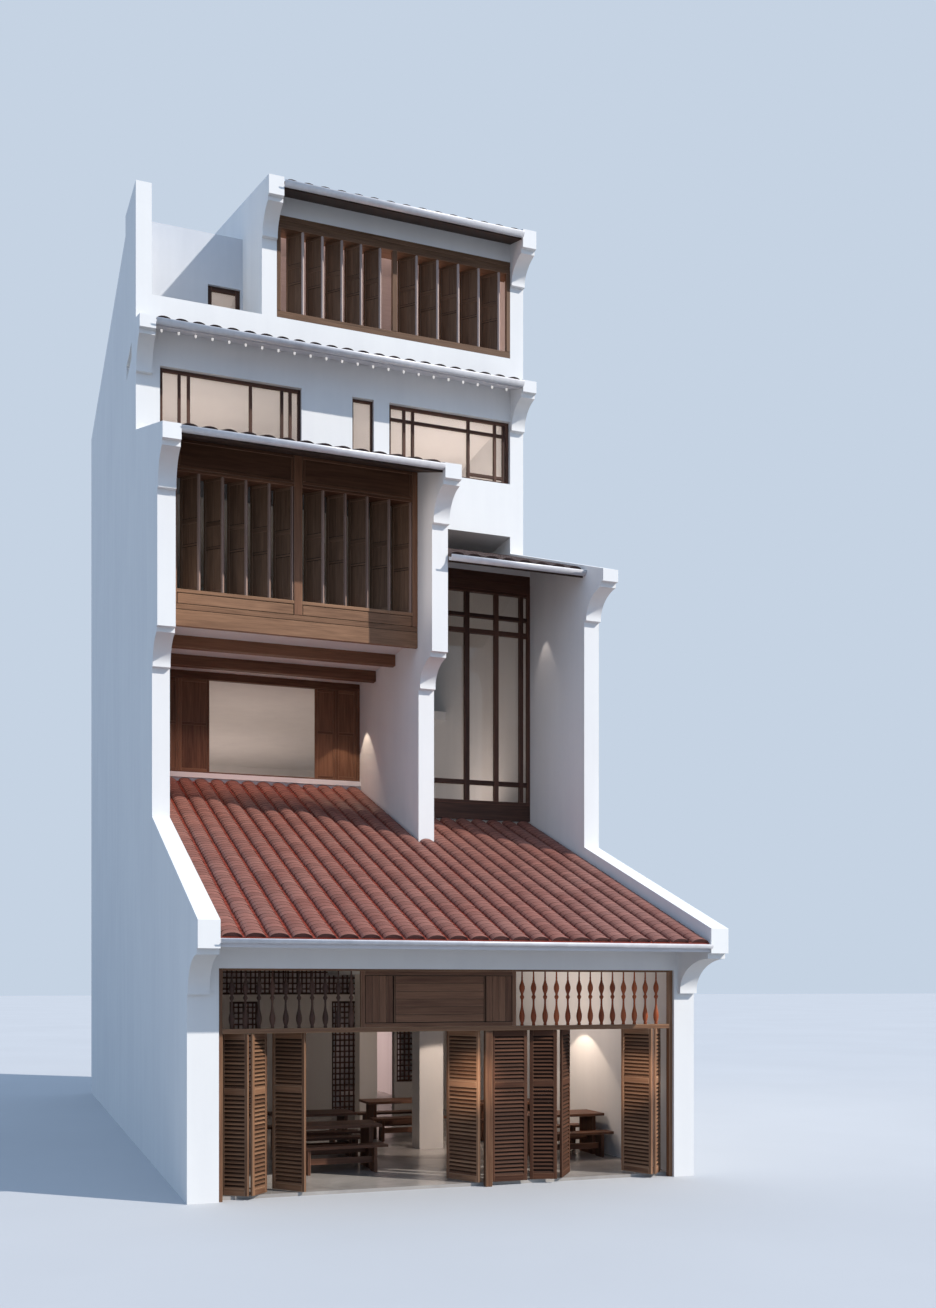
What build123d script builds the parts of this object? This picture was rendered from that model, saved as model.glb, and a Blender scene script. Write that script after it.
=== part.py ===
"""Townhouse between plain party walls: timber shopfront, stepped tiled roofs and pivoting blade screens.

Millimetres. +X to the right, +Y to the back, +Z up, as seen from the street.
The origin is on the ground at the centre of the footprint.
"""
import math
import os

from build123d import *

# Plot and floors
WIDTH = 8060
DEPTH = 20000
PARTY_T = 300
MID_X = 4810
GABLE_X = 2440
SLAB_T = 200
FLOOR_1 = 50
FLOOR_2 = 6600
FLOOR_3 = 9740
FLOOR_4 = 12830
FLOOR_5 = 15400
THIN_WALL = 200
REAR_WALL_T = 250
FLAT_ROOF_TOP = 18580
UPSTAND = 100
TERRACE_WALL_TOP = 19090

# Roofs: every slope has one pitch
PITCH = 20.5
ROW_PITCH = 325
DECK_T = 120
TILE_BASE = 18
TILE_RISE = 66
VALLEY_W = 70
BARREL_SIDES = 4
LOWER_EAVE_Y = -1000
LOWER_EAVE_Z = 3700
LEFT_EAVE_Y = 3010
LEFT_EAVE_Z = 12150
RIGHT_EAVE_Y = 3560
RIGHT_EAVE_Z = 10790
FOURTH_EAVE_Y = 6560
FOURTH_EAVE_Z = 15640
TOP_EAVE_Y = 6560
TOP_EAVE_Z = 18740
RIDGE_Y = 13230
RIDGE_R = 130
RIDGE_T = 25
RIDGE_JOINT = 20
SEAT = 0.3
GUTTER_R = 62
GUTTER_T = 5
GUTTER_DROP = 10
ROUND_SIDES = 6

# Storey fronts
FRONT_Y = 0
BOX_Y = 4440
MID_LOWER_Y = 4390
MID_UPPER_Y = 3600
RIGHT_WALL_Y = 3500
TALL_WINDOW_Y = 6100
UPPER_Y = 7200
PORCH_Y = 8500
TERRACE_BACK_Y = 9360
RECESS_Y = 8350
RECESS_T = 150

# Corbels: cap block, step, hollow curve and lip
CORBEL_LIP = 90
CORBEL_LIP_H = 50
CORBEL_STEP = 100
CORBEL_BAND = 80

# Ground storey front
LEFT_JAMB_W = 145
RIGHT_JAMB_W = 60
OPENING_HEAD = 3310
FRONT_WALL_T = 250
TIMBER_Y = 50
TIMBER_T = 100
THRESHOLD_Y = 210
RAIL_TOP = 2450
RAIL_BOTTOM = 2380
FRAME_POST = 60
HEAD_STRIP = 30
CENTRE_POST_W = 110
CENTRE_POST_TO_MID = 320
PANEL_W = 2460
PANEL_PAST_MID = 180
PANEL_T = 80
PANEL_BOARD_T = 50
PANEL_STRIP_W = 30
PANEL_STRIP_T = 65
PANEL_STRIP_INSET = 470
BALUSTER_R = 44
BALUSTER_SIDES = 6
LEFT_BALUSTERS = 10
RIGHT_BALUSTERS = 13

# Turned profile of a baluster from foot to neck, as shares of height and of radius
TURNINGS = [(0, 0.6), (0.17, 1), (0.36, 0.42), (0.49, 0.4), (0.53, 0.75),
            (0.57, 0.42), (0.7, 1), (0.86, 0.3), (1, 0.3)]

# Folding leaves: plan points as shares of their doorway's width and as depths
LEAF_T = 40
LEAF_GAP = 0.3
LEAF_LIFT = 12
LEAF_STILE = 55
LEAF_RAIL = 90
LEAF_MID_RAIL = 0.62
LOUVRE_PITCH = 110
LOUVRE_REACH = 14
LOUVRE_EDGE = 8
LOUVRE_BACK = 8
LEFT_LEAVES = [((0.022, 330), (0.105, 40)), ((0.116, 40), (0.182, 350)), ((0.221, 630), (0.315, 150))]
LEFT_OF_POST = [((-0.094, 750), (-0.017, 130))]
RIGHT_OF_POST = [((0.036, 130), (0.221, 130)), ((0.246, 210), (0.371, 70)), ((0.402, 140), (0.523, 700))]
RIGHT_LEAVES = [((-0.196, 600), (-0.125, -10)), ((-0.111, -10), (-0.022, 360))]

# Blade screens
BLADE_T = 45
BLADE_ANGLE = 43
BLADE_GAP = 0.3
BLADE_CLEARANCE = 8
BLADE_BORDER = 50
BLADE_SINK = 8
BLADE_RAILS = (0.41, 0.61)
BLADES_PER_HALF = 5
SCREEN_MARGIN = 10
SCREEN_BOARD_T = 60
BOX_FASCIA_TOP = 9700
BOX_PANEL_TOP = 9960
BOX_HEAD = 12000
BOX_BOTTOM = 9320
BOX_FRAME_T = 90
BOX_POST_X = 2490
BOX_POST_W = 150
BOX_LEFT_STILE = 125
BOX_RIGHT_STILE = 100
BOX_PANEL_SET = 20
SOFFIT_BEAMS_Y = (5870, 7250)
SOFFIT_BEAM_W = 160
SOFFIT_BEAM_H = 220
TOP_SILL = 16430
TOP_HEAD = 18480
TOP_FRAME_T = 100
TOP_SILL_H = 140
TOP_HEAD_H = 250
TOP_STILE = 80
TOP_POST_PAST_MID = 40
TOP_POST_W = 100
TOP_LEFT_START = 80
TOP_LEFT_REST = 230
TOP_RIGHT_REST = 140

# Windows and doors
SASH = 60
SASH_T = 70
FRAME_D = 100
GLASS_T = 12
REVEAL = 90
PORCH_SILL = 7440
PORCH_SILL_H = 105
PORCH_SILL_OUT = 60
PORCH_FRAME_SET = 20
PORCH_HEAD_H = 160
PORCH_FOOT_H = 40
LEFT_SHUTTERS_W = 1310
RIGHT_SHUTTERS_W = 980
SHUTTER_GAP = 1
TALL_SILL = 6750
TALL_SILL_PANEL_H = 320
TALL_HEAD_WALL_H = 170
TALL_LINTEL_H = 370
TALL_MULLIONS = ((1420, 100), (780, 90), (230, 80))
TALL_BARS_DOWN = ((570, 80), (890, 90))
TALL_BAR_UP = (380, 90)
FOURTH_SILL = 13750
FOURTH_HEAD = 15080
FOURTH_LEFT_MARGIN = 154
FOURTH_LEFT_MULLIONS = (350, 530)
FOURTH_LEFT_FAR_MULLIONS = (1038, 408, 238)
FOURTH_WIDE_PIER_W = 1054
FOURTH_SLOT_W = 455
FOURTH_PIER_W = 328
FOURTH_RIGHT_W = 2681
FOURTH_RIGHT_MULLIONS = (320, 510, 1740, 2340, 2540)
FOURTH_TOP_BAR = 320
FOURTH_LOW_BAR = 110
TERRACE_DOOR_W = 690
TERRACE_DOOR_MARGIN = 50
TERRACE_DOOR_HEAD = 18000
TERRACE_DOOR_SET = 60
TERRACE_DOOR_RAIL = 900
TERRACE_DOOR_BORDER = 90
SLIT_Y = 8060
SLIT_W = 1070
SLIT_Z = 15550
SLIT_H = 300
REAR_WINDOW_W = 1200
REAR_WINDOW_H = 1400
REAR_SILL = 900
REAR_MARGIN = 700
REAR_DOOR_H = 2400

# Ground hall
PIER_W = 460
PIER_2_W = 390
PIER_2_OUT = 50
PIER_1_Y = 4330
PIER_2_Y = 8350
CROSS_WALL_Y = 11400
CROSS_HEAD = 2700
LATTICE_CELL = 500
LATTICE_BAR = 24
LATTICE_BORDER = 50
LATTICE_T = 50
LATTICE_SET = 60
LATTICE_SILL = 750
BAND_BOTTOM = 2860
BAND_TOP = 3900
BAND_MARGIN = 400
LEFT_LATTICE_DOOR = (2310, 660)
RIGHT_LATTICE_DOOR = (0.034, 0.258)
HALL_DOORWAY = (0.336, 0.556)
LATTICE_WINDOW = (0.576, 0.8)
TABLE_H = 740
TABLE_L = 1500
TABLE_W = 750
TABLE_TOP_T = 50
TABLE_LEG_T = 60
TABLE_LEG_INSET = 160
TABLE_LEG_MARGIN = 90
BENCH_H = 450
BENCH_W = 320
BENCH_TOP_T = 45
BENCH_LEG_T = 50
BENCH_LEG_INSET = 200
BENCH_LEG_MARGIN = 30
BENCH_TO_TABLE = 60
TABLE_TO_WALL = 60
LEFT_TABLES = ((2400, 2500), (2500, 4500), (4760, 6400))
RIGHT_TABLES_Y = (2900, 5400)

SLOPE = math.tan(math.radians(PITCH))
RIGHT_X = WIDTH - PARTY_T
MID_END_X = MID_X + PARTY_T
GABLE_END_X = GABLE_X + PARTY_T
REAR_Y = DEPTH - REAR_WALL_T
OPENING_LEFT = PARTY_T + LEFT_JAMB_W
OPENING_RIGHT = RIGHT_X - RIGHT_JAMB_W
CENTRE_POST_X = MID_X - CENTRE_POST_TO_MID
PANEL_RIGHT = MID_X + PANEL_PAST_MID
PANEL_LEFT = PANEL_RIGHT - PANEL_W
TOP_POST_X = MID_END_X + TOP_POST_PAST_MID
FOURTH_RIGHT = (RIGHT_X - FOURTH_RIGHT_W, RIGHT_X)
SLOT_END_X = FOURTH_RIGHT[0] - FOURTH_PIER_W
FOURTH_SLOT = (SLOT_END_X - FOURTH_SLOT_W, SLOT_END_X)
FOURTH_LEFT = (PARTY_T + FOURTH_LEFT_MARGIN, FOURTH_SLOT[0] - FOURTH_WIDE_PIER_W)
TERRACE_DOOR_X = GABLE_X - TERRACE_DOOR_MARGIN - TERRACE_DOOR_W


def block(x0, x1, y0, y1, z0, z1):
    """A plain box between three pairs of planes."""
    return Pos((x0 + x1) / 2, (y0 + y1) / 2, (z0 + z1) / 2) * Box(x1 - x0, y1 - y0, z1 - z0)


def join(solids):
    """One shape made of solids that meet."""
    solids = list(solids)
    return solids[0].fuse(*solids[1:]) if len(solids) > 1 else solids[0]


def group(solids):
    """Separate solids that share a node."""
    return Compound(children=list(solids))


def save(name, shape):
    """Write one sub-part, moved to the origin at the centre of the footprint."""
    export_step(Pos(-WIDTH / 2, -DEPTH / 2, 0) * shape, f"parts/{name}.step")


def cove(centre_y, centre_z, reach, height):
    """The hollow quarter ellipse under a corbel's step."""
    return EllipticalCenterArc((centre_y, centre_z), reach, height, start_angle=0, arc_size=90)


def corbel(face_y, cap_y, foot_z, cap_z):
    """Points and hollow curve from a wall face out to the front of its cap."""
    lip_y = face_y - CORBEL_LIP
    curve_z = foot_z + CORBEL_LIP_H
    step_y = cap_y + CORBEL_STEP
    band_z = cap_z - CORBEL_BAND
    hollow = cove(step_y, curve_z, lip_y - step_y, band_z - curve_z)
    return [(face_y, foot_z), (lip_y, foot_z), (lip_y, curve_z), hollow, (step_y, cap_z), (cap_y, cap_z)]


def side_profile(path, x0, thickness):
    """A wall of one thickness whose outline in the YZ plane is points and hollow curves."""
    edges = []
    cursor = path[0]
    for item in path[1:] + [path[0]]:
        if isinstance(item, tuple):
            edges.append(Line(cursor, item))
            cursor = item
        else:
            edges.append(item)
            end = item @ 1
            cursor = (end.X, end.Y)
    outline = Plane.YZ * make_face(edges)
    return Pos(x0, 0, 0) * extrude(outline, amount=thickness)


def rise(y0, z0, y1):
    """Height of a roof slope at y1 when it passes (y0, z0)."""
    return z0 + SLOPE * (y1 - y0)


LOWER_CAP = (LOWER_EAVE_Y - 50, 2940, 3560, 3940)
LEFT_CAP = (LEFT_EAVE_Y - 150, 11330, 11890, 12150)
RIGHT_CAP = (RIGHT_EAVE_Y - 860, 9840, 10370, 10590)
FOURTH_CAP = (FOURTH_EAVE_Y - 90, 14870, 15420, 15660)
TOP_CAP = (TOP_EAVE_Y - 80, 17950, 18430, 18800)
BRACKET = (MID_UPPER_Y, 8540, 9060)


def capped(face_y, cap):
    """A corbel, its cap front and the top corner of the cap."""
    cap_y, foot_z, cap_z, top_z = cap
    return corbel(face_y, cap_y, foot_z, cap_z) + [(cap_y, top_z)]


def bracket(face_y, upper_y, foot_z, top_z):
    """A corbel that carries the wall above forward, with no cap."""
    return corbel(face_y, upper_y, foot_z, top_z)


def meet(cap, y):
    """Point where the coping that rises from a cap reaches y."""
    return (y, rise(cap[0], cap[3], y))


def left_party_wall():
    """Steps back storey by storey, with the slit window of the terrace."""
    path = [(DEPTH, 0), (FRONT_Y, 0)]
    path += capped(FRONT_Y, LOWER_CAP)
    path += [meet(LOWER_CAP, MID_LOWER_Y)]
    path += bracket(MID_LOWER_Y, *BRACKET)
    path += capped(MID_UPPER_Y, LEFT_CAP)
    path += [meet(LEFT_CAP, UPPER_Y)]
    path += capped(UPPER_Y, FOURTH_CAP)
    path += [meet(FOURTH_CAP, UPPER_Y), (UPPER_Y, FLAT_ROOF_TOP), (TERRACE_BACK_Y, FLAT_ROOF_TOP)]
    path += [(TERRACE_BACK_Y, FLAT_ROOF_TOP + UPSTAND), (DEPTH, FLAT_ROOF_TOP + UPSTAND)]
    wall = side_profile(path, 0, PARTY_T)
    slit = block(-1, PARTY_T + 1, SLIT_Y, SLIT_Y + SLIT_W, SLIT_Z, SLIT_Z + SLIT_H)
    return wall - slit


def terrace_side_wall():
    """Sloping top of the left wall beside the terrace."""
    path = [(UPPER_Y, FLAT_ROOF_TOP), (TERRACE_BACK_Y, FLAT_ROOF_TOP), (TERRACE_BACK_Y, TERRACE_WALL_TOP)]
    return side_profile(path, 0, PARTY_T)


def gable_top():
    """Front corbel, ridge and rear end of a gable under the top roof."""
    top_z = rise(TOP_CAP[0], TOP_CAP[3], RIDGE_Y)
    rear_z = top_z - SLOPE * (DEPTH - RIDGE_Y)
    return capped(UPPER_Y, TOP_CAP) + [(RIDGE_Y, top_z), (DEPTH, rear_z)]


def right_party_wall():
    """Follows each roof up to the gable."""
    path = [(DEPTH, 0), (FRONT_Y, 0)]
    path += capped(FRONT_Y, LOWER_CAP)
    path += [meet(LOWER_CAP, RIGHT_WALL_Y)]
    path += capped(RIGHT_WALL_Y, RIGHT_CAP)
    path += [meet(RIGHT_CAP, UPPER_Y)]
    path += capped(UPPER_Y, FOURTH_CAP)
    path += [meet(FOURTH_CAP, UPPER_Y)]
    path += gable_top()
    return side_profile(path, RIGHT_X, PARTY_T)


def mid_party_wall():
    """Stands on the hall piers and divides the two bays."""
    path = [(CROSS_WALL_Y, OPENING_HEAD), (MID_LOWER_Y, OPENING_HEAD)]
    path += bracket(MID_LOWER_Y, *BRACKET)
    path += capped(MID_UPPER_Y, LEFT_CAP)
    path += [meet(LEFT_CAP, UPPER_Y), (UPPER_Y, FLOOR_4 - SLAB_T), (CROSS_WALL_Y, FLOOR_4 - SLAB_T)]
    return side_profile(path, MID_X, PARTY_T)


def top_gable_wall():
    """Left end of the top storey, standing on its floor behind the parapet."""
    front_y = UPPER_Y + THIN_WALL
    path = [(DEPTH, FLAT_ROOF_TOP), (REAR_Y, FLAT_ROOF_TOP), (REAR_Y, FLOOR_5), (front_y, FLOOR_5)]
    path += [(front_y, TOP_SILL), (UPPER_Y, TOP_SILL)]
    path += gable_top()
    return side_profile(path, GABLE_X, PARTY_T)


def rear_openings():
    """Left edge, width, sill and head of each opening in the rear wall."""
    left = PARTY_T + REAR_MARGIN
    right = RIGHT_X - REAR_MARGIN - REAR_WINDOW_W
    holes = [(left, REAR_WINDOW_W, FLOOR_1, FLOOR_1 + REAR_DOOR_H)]
    holes += [(right, REAR_WINDOW_W, FLOOR_1 + REAR_SILL, FLOOR_1 + REAR_SILL + REAR_WINDOW_H)]
    for floor in (FLOOR_2, FLOOR_3, FLOOR_4, FLOOR_5):
        for x0 in (left, right):
            holes.append((x0, REAR_WINDOW_W, floor + REAR_SILL, floor + REAR_SILL + REAR_WINDOW_H))
    return holes


def rear_wall():
    """Closes the back between the party walls, up to the flat roof and the rear slope."""
    wall = block(PARTY_T, RIGHT_X, REAR_Y, DEPTH, 0, FLAT_ROOF_TOP)
    eaves = [(y, rear_slope(y) - DECK_T) for y in (REAR_Y, DEPTH)]
    path = [(REAR_Y, FLAT_ROOF_TOP)] + eaves + [(DEPTH, FLAT_ROOF_TOP)]
    wall += side_profile(path, GABLE_END_X, RIGHT_X - GABLE_END_X)
    for x0, width, sill, head in rear_openings():
        wall -= block(x0, x0 + width, REAR_Y - 1, DEPTH + 1, sill, head)
    return wall


def rear_slope(y):
    """Top of the deck behind the ridge."""
    return rise(TOP_EAVE_Y, TOP_EAVE_Z, 2 * RIDGE_Y - y)


def slab(x0, x1, y0, y1, top):
    """A floor slab with its top at a floor level."""
    return block(x0, x1, y0, y1, top - SLAB_T, top)


def mid_wall_zone():
    """The space that the wall between the bays takes."""
    return block(MID_X, MID_END_X, 0, CROSS_WALL_Y, OPENING_HEAD, FLOOR_4 - SLAB_T)


def floor_slabs():
    """Each storey's floor as its own sub-part."""
    second = slab(PARTY_T, RIGHT_X, TALL_WINDOW_Y + FRAME_D, REAR_Y, FLOOR_2)
    second -= block(PARTY_T, MID_X, 0, PORCH_Y, 0, FLOOR_3)
    second -= mid_wall_zone()
    third = slab(PARTY_T, MID_X, BOX_Y + BOX_FRAME_T, REAR_Y, FLOOR_3)
    third += slab(MID_X, RIGHT_X, CROSS_WALL_Y, REAR_Y, FLOOR_3)
    ground = block(PARTY_T, RIGHT_X, FRONT_Y + FRONT_WALL_T, REAR_Y, 0, FLOOR_1)
    ground += block(OPENING_LEFT, OPENING_RIGHT, THRESHOLD_Y, FRONT_Y + FRONT_WALL_T, 0, FLOOR_1)
    return {
        "ground_floor_slab": ground,
        "second_floor_slab": second,
        "third_floor_slab": third,
        "fourth_floor_slab": slab(PARTY_T, RIGHT_X, UPPER_Y + THIN_WALL, REAR_Y, FLOOR_4),
        "fifth_floor_slab": slab(PARTY_T, RIGHT_X, UPPER_Y + THIN_WALL, REAR_Y, FLOOR_5),
        "flat_roof_slab": slab(PARTY_T, GABLE_X, TERRACE_BACK_Y + THIN_WALL, REAR_Y, FLAT_ROOF_TOP),
    }


def barrel(start, pitch):
    """Points over one barrel row, as a half ellipse between its valleys."""
    middle = start + pitch / 2
    half = (pitch - VALLEY_W) / 2
    turns = [math.pi * i / BARREL_SIDES for i in range(BARREL_SIDES + 1)]
    return [(middle - half * math.cos(turn), TILE_BASE + TILE_RISE * math.sin(turn)) for turn in turns]


def tile_sheet(x0, x1, y_low, z_low, y_high):
    """Barrel tile rows from a lower to a higher line of the slope, on a thin base."""
    width = x1 - x0
    rows = max(1, round(width / ROW_PITCH))
    points = [(width, TILE_BASE), (width, 0), (0, 0), (0, TILE_BASE)]
    for row in range(rows):
        points += barrel(row * width / rows, width / rows)
    angle = math.radians(PITCH)
    top = (x0, y_high, rise(y_low, z_low, y_high))
    plane = Plane(origin=top, x_dir=(1, 0, 0), z_dir=(0, -math.cos(angle), -math.sin(angle)))
    outline = make_face(Polyline(*points, close=True))
    return extrude(plane * outline, amount=(y_high - y_low) / math.cos(angle))


def deck(x0, x1, y_low, z_low, y_high):
    """Roof deck under a tile sheet, with plumb edges."""
    z_high = rise(y_low, z_low, y_high)
    path = [(y_low, z_low), (y_low, z_low - DECK_T), (y_high, z_high - DECK_T), (y_high, z_high)]
    return side_profile(path, x0, x1 - x0)


def lower_roof(make):
    """The lean-to roof over the ground storey, stepped round the walls above it."""
    left = make(PARTY_T, MID_X, LOWER_EAVE_Y, LOWER_EAVE_Z, PORCH_Y)
    middle = make(MID_X, MID_END_X, LOWER_EAVE_Y, LOWER_EAVE_Z, MID_LOWER_Y)
    right = make(MID_END_X, RIGHT_X, LOWER_EAVE_Y, LOWER_EAVE_Z, TALL_WINDOW_Y)
    return join([left, middle, right])


def upper_roofs(make):
    """Left bay, right bay and the eave over the fourth floor windows."""
    left = make(PARTY_T, MID_X, LEFT_EAVE_Y, LEFT_EAVE_Z, UPPER_Y)
    right = make(MID_END_X, RIGHT_X, RIGHT_EAVE_Y, RIGHT_EAVE_Z, UPPER_Y)
    eave = make(PARTY_T, RIGHT_X, FOURTH_EAVE_Y, FOURTH_EAVE_Z, UPPER_Y)
    return group([left, right, eave])


def mirror_rear(shape):
    """Reflect a front slope behind the ridge."""
    return mirror(shape, about=Plane.XZ.offset(-RIDGE_Y))


def top_roof_deck():
    """Gabled deck between the two gables."""
    z_ridge = rise(TOP_EAVE_Y, TOP_EAVE_Z, RIDGE_Y)
    z_rear = z_ridge - SLOPE * (DEPTH - RIDGE_Y)
    top = [(TOP_EAVE_Y, TOP_EAVE_Z), (RIDGE_Y, z_ridge), (DEPTH, z_rear)]
    under = [(y, z - DECK_T) for y, z in reversed(top)]
    return side_profile(top + under, GABLE_END_X, RIGHT_X - GABLE_END_X)


def top_roof_tiles():
    """Front and rear slopes, which stop short of each other under the ridge tile."""
    high = RIDGE_Y - RIDGE_JOINT
    front = tile_sheet(GABLE_END_X, RIGHT_X, TOP_EAVE_Y, TOP_EAVE_Z, high)
    rear_low = 2 * RIDGE_Y - DEPTH
    rear = tile_sheet(GABLE_END_X, RIGHT_X, rear_low, rise(TOP_EAVE_Y, TOP_EAVE_Z, rear_low), high)
    return group([front, mirror_rear(rear)])


def half_ring(radius, thickness, sign):
    """Points of a half ring in the YZ plane, above its centre for sign 1 and below it for -1."""
    turns = [math.pi * i / ROUND_SIDES for i in range(ROUND_SIDES + 1)]
    outer = [(radius * math.cos(t), sign * radius * math.sin(t)) for t in turns]
    inner = [(y * (radius - thickness) / radius, z * (radius - thickness) / radius) for y, z in outer]
    return outer + inner[::-1]


def top_roof_ridge():
    """Half-round ridge tile that rests on both slopes."""
    crown = (TILE_BASE + TILE_RISE) / math.cos(math.radians(PITCH))
    z_seat = rise(TOP_EAVE_Y, TOP_EAVE_Z, RIDGE_Y) + crown - SLOPE * (RIDGE_R - RIDGE_T) + SEAT
    ring = side_profile(half_ring(RIDGE_R, RIDGE_T, 1), GABLE_END_X, RIGHT_X - GABLE_END_X)
    return Pos(0, RIDGE_Y, z_seat) * ring


def gutter(x0, x1, edge_y, z_top):
    """Half-round gutter hung on the front edge of a deck."""
    trough = side_profile(half_ring(GUTTER_R, GUTTER_T, -1), x0, x1 - x0)
    return Pos(0, edge_y - GUTTER_R, z_top) * trough


def eave_gutters():
    """One gutter along the foot of each slope."""
    drop = GUTTER_DROP
    z_rear = rise(TOP_EAVE_Y, TOP_EAVE_Z, 2 * RIDGE_Y - DEPTH)
    return group([
        gutter(PARTY_T, RIGHT_X, LOWER_EAVE_Y, LOWER_EAVE_Z - drop),
        gutter(PARTY_T, MID_X, LEFT_EAVE_Y, LEFT_EAVE_Z - drop),
        gutter(MID_END_X, RIGHT_X, RIGHT_EAVE_Y, RIGHT_EAVE_Z - drop),
        gutter(PARTY_T, RIGHT_X, FOURTH_EAVE_Y, FOURTH_EAVE_Z - drop),
        gutter(GABLE_END_X, RIGHT_X, TOP_EAVE_Y, TOP_EAVE_Z - drop),
        gutter(GABLE_END_X, RIGHT_X, DEPTH + 2 * GUTTER_R, z_rear - drop),
    ])


def grid_frame(x0, x1, z0, z1, y0, depth, mullions=(), bars=(), border=SASH):
    """Window frame with mullions (x, width) and bars (z, height, x from, x to)."""
    parts = [block(x0, x1, y0, y0 + depth, z0, z0 + border)]
    parts += [block(x0, x1, y0, y0 + depth, z1 - border, z1)]
    parts += [block(x0, x0 + border, y0, y0 + depth, z0, z1)]
    parts += [block(x1 - border, x1, y0, y0 + depth, z0, z1)]
    parts += [block(x, x + w, y0, y0 + depth, z0, z1) for x, w in mullions]
    parts += [block(a, b, y0, y0 + depth, z, z + h) for z, h, a, b in bars]
    return join(parts)


def ground_door_frame():
    """Posts, head, transom rail and the post between the two doorways."""
    y0 = TIMBER_Y
    y1 = TIMBER_Y + TIMBER_T
    parts = [block(OPENING_LEFT, OPENING_LEFT + FRAME_POST, y0, y1, 0, OPENING_HEAD)]
    parts += [block(OPENING_RIGHT - FRAME_POST, OPENING_RIGHT, y0, y1, 0, OPENING_HEAD)]
    parts += [block(OPENING_LEFT, OPENING_RIGHT, y0, y1, OPENING_HEAD - HEAD_STRIP, OPENING_HEAD)]
    parts += [block(OPENING_LEFT, OPENING_RIGHT, y0, y1, RAIL_BOTTOM, RAIL_TOP)]
    parts += [block(CENTRE_POST_X, CENTRE_POST_X + CENTRE_POST_W, y0, y1, 0, RAIL_TOP)]
    return join(parts)


def baluster():
    """A turned baluster on the transom rail, with flat sides between the levels of its profile."""
    height = OPENING_HEAD - HEAD_STRIP - RAIL_TOP
    turns = [2 * math.pi * i / BALUSTER_SIDES for i in range(BALUSTER_SIDES)]
    rings = []
    for level, share in TURNINGS:
        r = share * BALUSTER_R
        rings.append([(r * math.cos(turn), r * math.sin(turn), level * height) for turn in turns])
    sides = [Face(Wire.make_polygon(rings[0])), Face(Wire.make_polygon(rings[-1]))]
    for low, high in zip(rings[:-1], rings[1:]):
        for i in range(BALUSTER_SIDES):
            sides.append(Face(Wire.make_polygon((low[i - 1], low[i], high[i], high[i - 1]))))
    return Pos(0, TIMBER_Y + TIMBER_T / 2, RAIL_TOP) * Solid(Shell(sides))


def transom_balusters():
    """Balusters over the left and right doorways."""
    turned = baluster()
    left_pitch = (PANEL_LEFT - OPENING_LEFT - FRAME_POST) / (LEFT_BALUSTERS + 0.4)
    right_span = OPENING_RIGHT - FRAME_POST - PANEL_RIGHT
    right_pitch = right_span / (RIGHT_BALUSTERS + 0.7)
    places = [OPENING_LEFT + FRAME_POST + (i + 0.7) * left_pitch for i in range(LEFT_BALUSTERS)]
    places += [PANEL_RIGHT + (i + 0.6) * right_pitch for i in range(RIGHT_BALUSTERS)]
    return group([Pos(x, 0, 0) * turned for x in places])


def transom_panel():
    """Boarded panel in the middle of the transom, with a raised frame."""
    y0 = TIMBER_Y
    z0 = RAIL_TOP
    z1 = OPENING_HEAD - HEAD_STRIP
    back = y0 + PANEL_T
    board = block(PANEL_LEFT, PANEL_RIGHT, back - PANEL_BOARD_T, back, z0, z1)
    border = grid_frame(PANEL_LEFT, PANEL_RIGHT, z0, z1, y0, PANEL_T)
    places = (PANEL_LEFT + PANEL_STRIP_INSET, PANEL_RIGHT - PANEL_STRIP_INSET)
    strips = [block(x, x + PANEL_STRIP_W, back - PANEL_STRIP_T, back, z0, z1) for x in places]
    return join([board, border] + strips)


def louvred_leaf(x0, y0, x1, y1):
    """A folding leaf between two points of the plan, hung under the transom rail."""
    width = math.dist((x0, y0), (x1, y1))
    height = RAIL_BOTTOM - LEAF_GAP - FLOOR_1 - LEAF_LIFT
    mid = LEAF_MID_RAIL * height
    half = LEAF_T / 2
    frame = [block(x, x + LEAF_STILE, -half, half, 0, height) for x in (0, width - LEAF_STILE)]
    for z in (0, mid, height - LEAF_RAIL):
        frame.append(block(0, width, -half, half, z, z + LEAF_RAIL))
    fields = [louvre_field(width, LEAF_RAIL, mid), louvre_field(width, mid + LEAF_RAIL, height - LEAF_RAIL)]
    angle = math.degrees(math.atan2(y1 - y0, x1 - x0))
    return Pos(x0, y0, FLOOR_1 + LEAF_LIFT) * Rot(0, 0, angle) * join(frame + fields)


def louvre_field(width, z0, z1):
    """Overlapping slats between two rails of a leaf, on a thin back."""
    count = round((z1 - z0) / LOUVRE_PITCH)
    pitch = (z1 - z0) / count
    path = [(-LOUVRE_REACH, z0)]
    for i in range(count):
        z = z0 + i * pitch
        path += [(-LOUVRE_REACH, z + LOUVRE_EDGE), (0, z + pitch)]
        if i < count - 1:
            path.append((-LOUVRE_REACH, z + pitch))
    path += [(LOUVRE_BACK, z1), (LOUVRE_BACK, z0)]
    return side_profile(path, LEAF_STILE, width - 2 * LEAF_STILE)


def folding_leaves(plan, datum, doorway):
    """A set of leaves placed from one edge of a doorway of some width."""
    return [louvred_leaf(datum + a[0] * doorway, a[1], datum + b[0] * doorway, b[1]) for a, b in plan]


def all_leaves():
    """The three folded sets: at the left jamb, at the centre post and at the right jamb."""
    left = CENTRE_POST_X - OPENING_LEFT
    right = OPENING_RIGHT - CENTRE_POST_X
    centre = folding_leaves(LEFT_OF_POST, CENTRE_POST_X, left)
    centre += folding_leaves(RIGHT_OF_POST, CENTRE_POST_X, right)
    return {
        "left_folding_leaves": group(folding_leaves(LEFT_LEAVES, OPENING_LEFT, left)),
        "centre_folding_leaves": group(centre),
        "right_folding_leaves": group(folding_leaves(RIGHT_LEAVES, OPENING_RIGHT, right)),
    }


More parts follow.
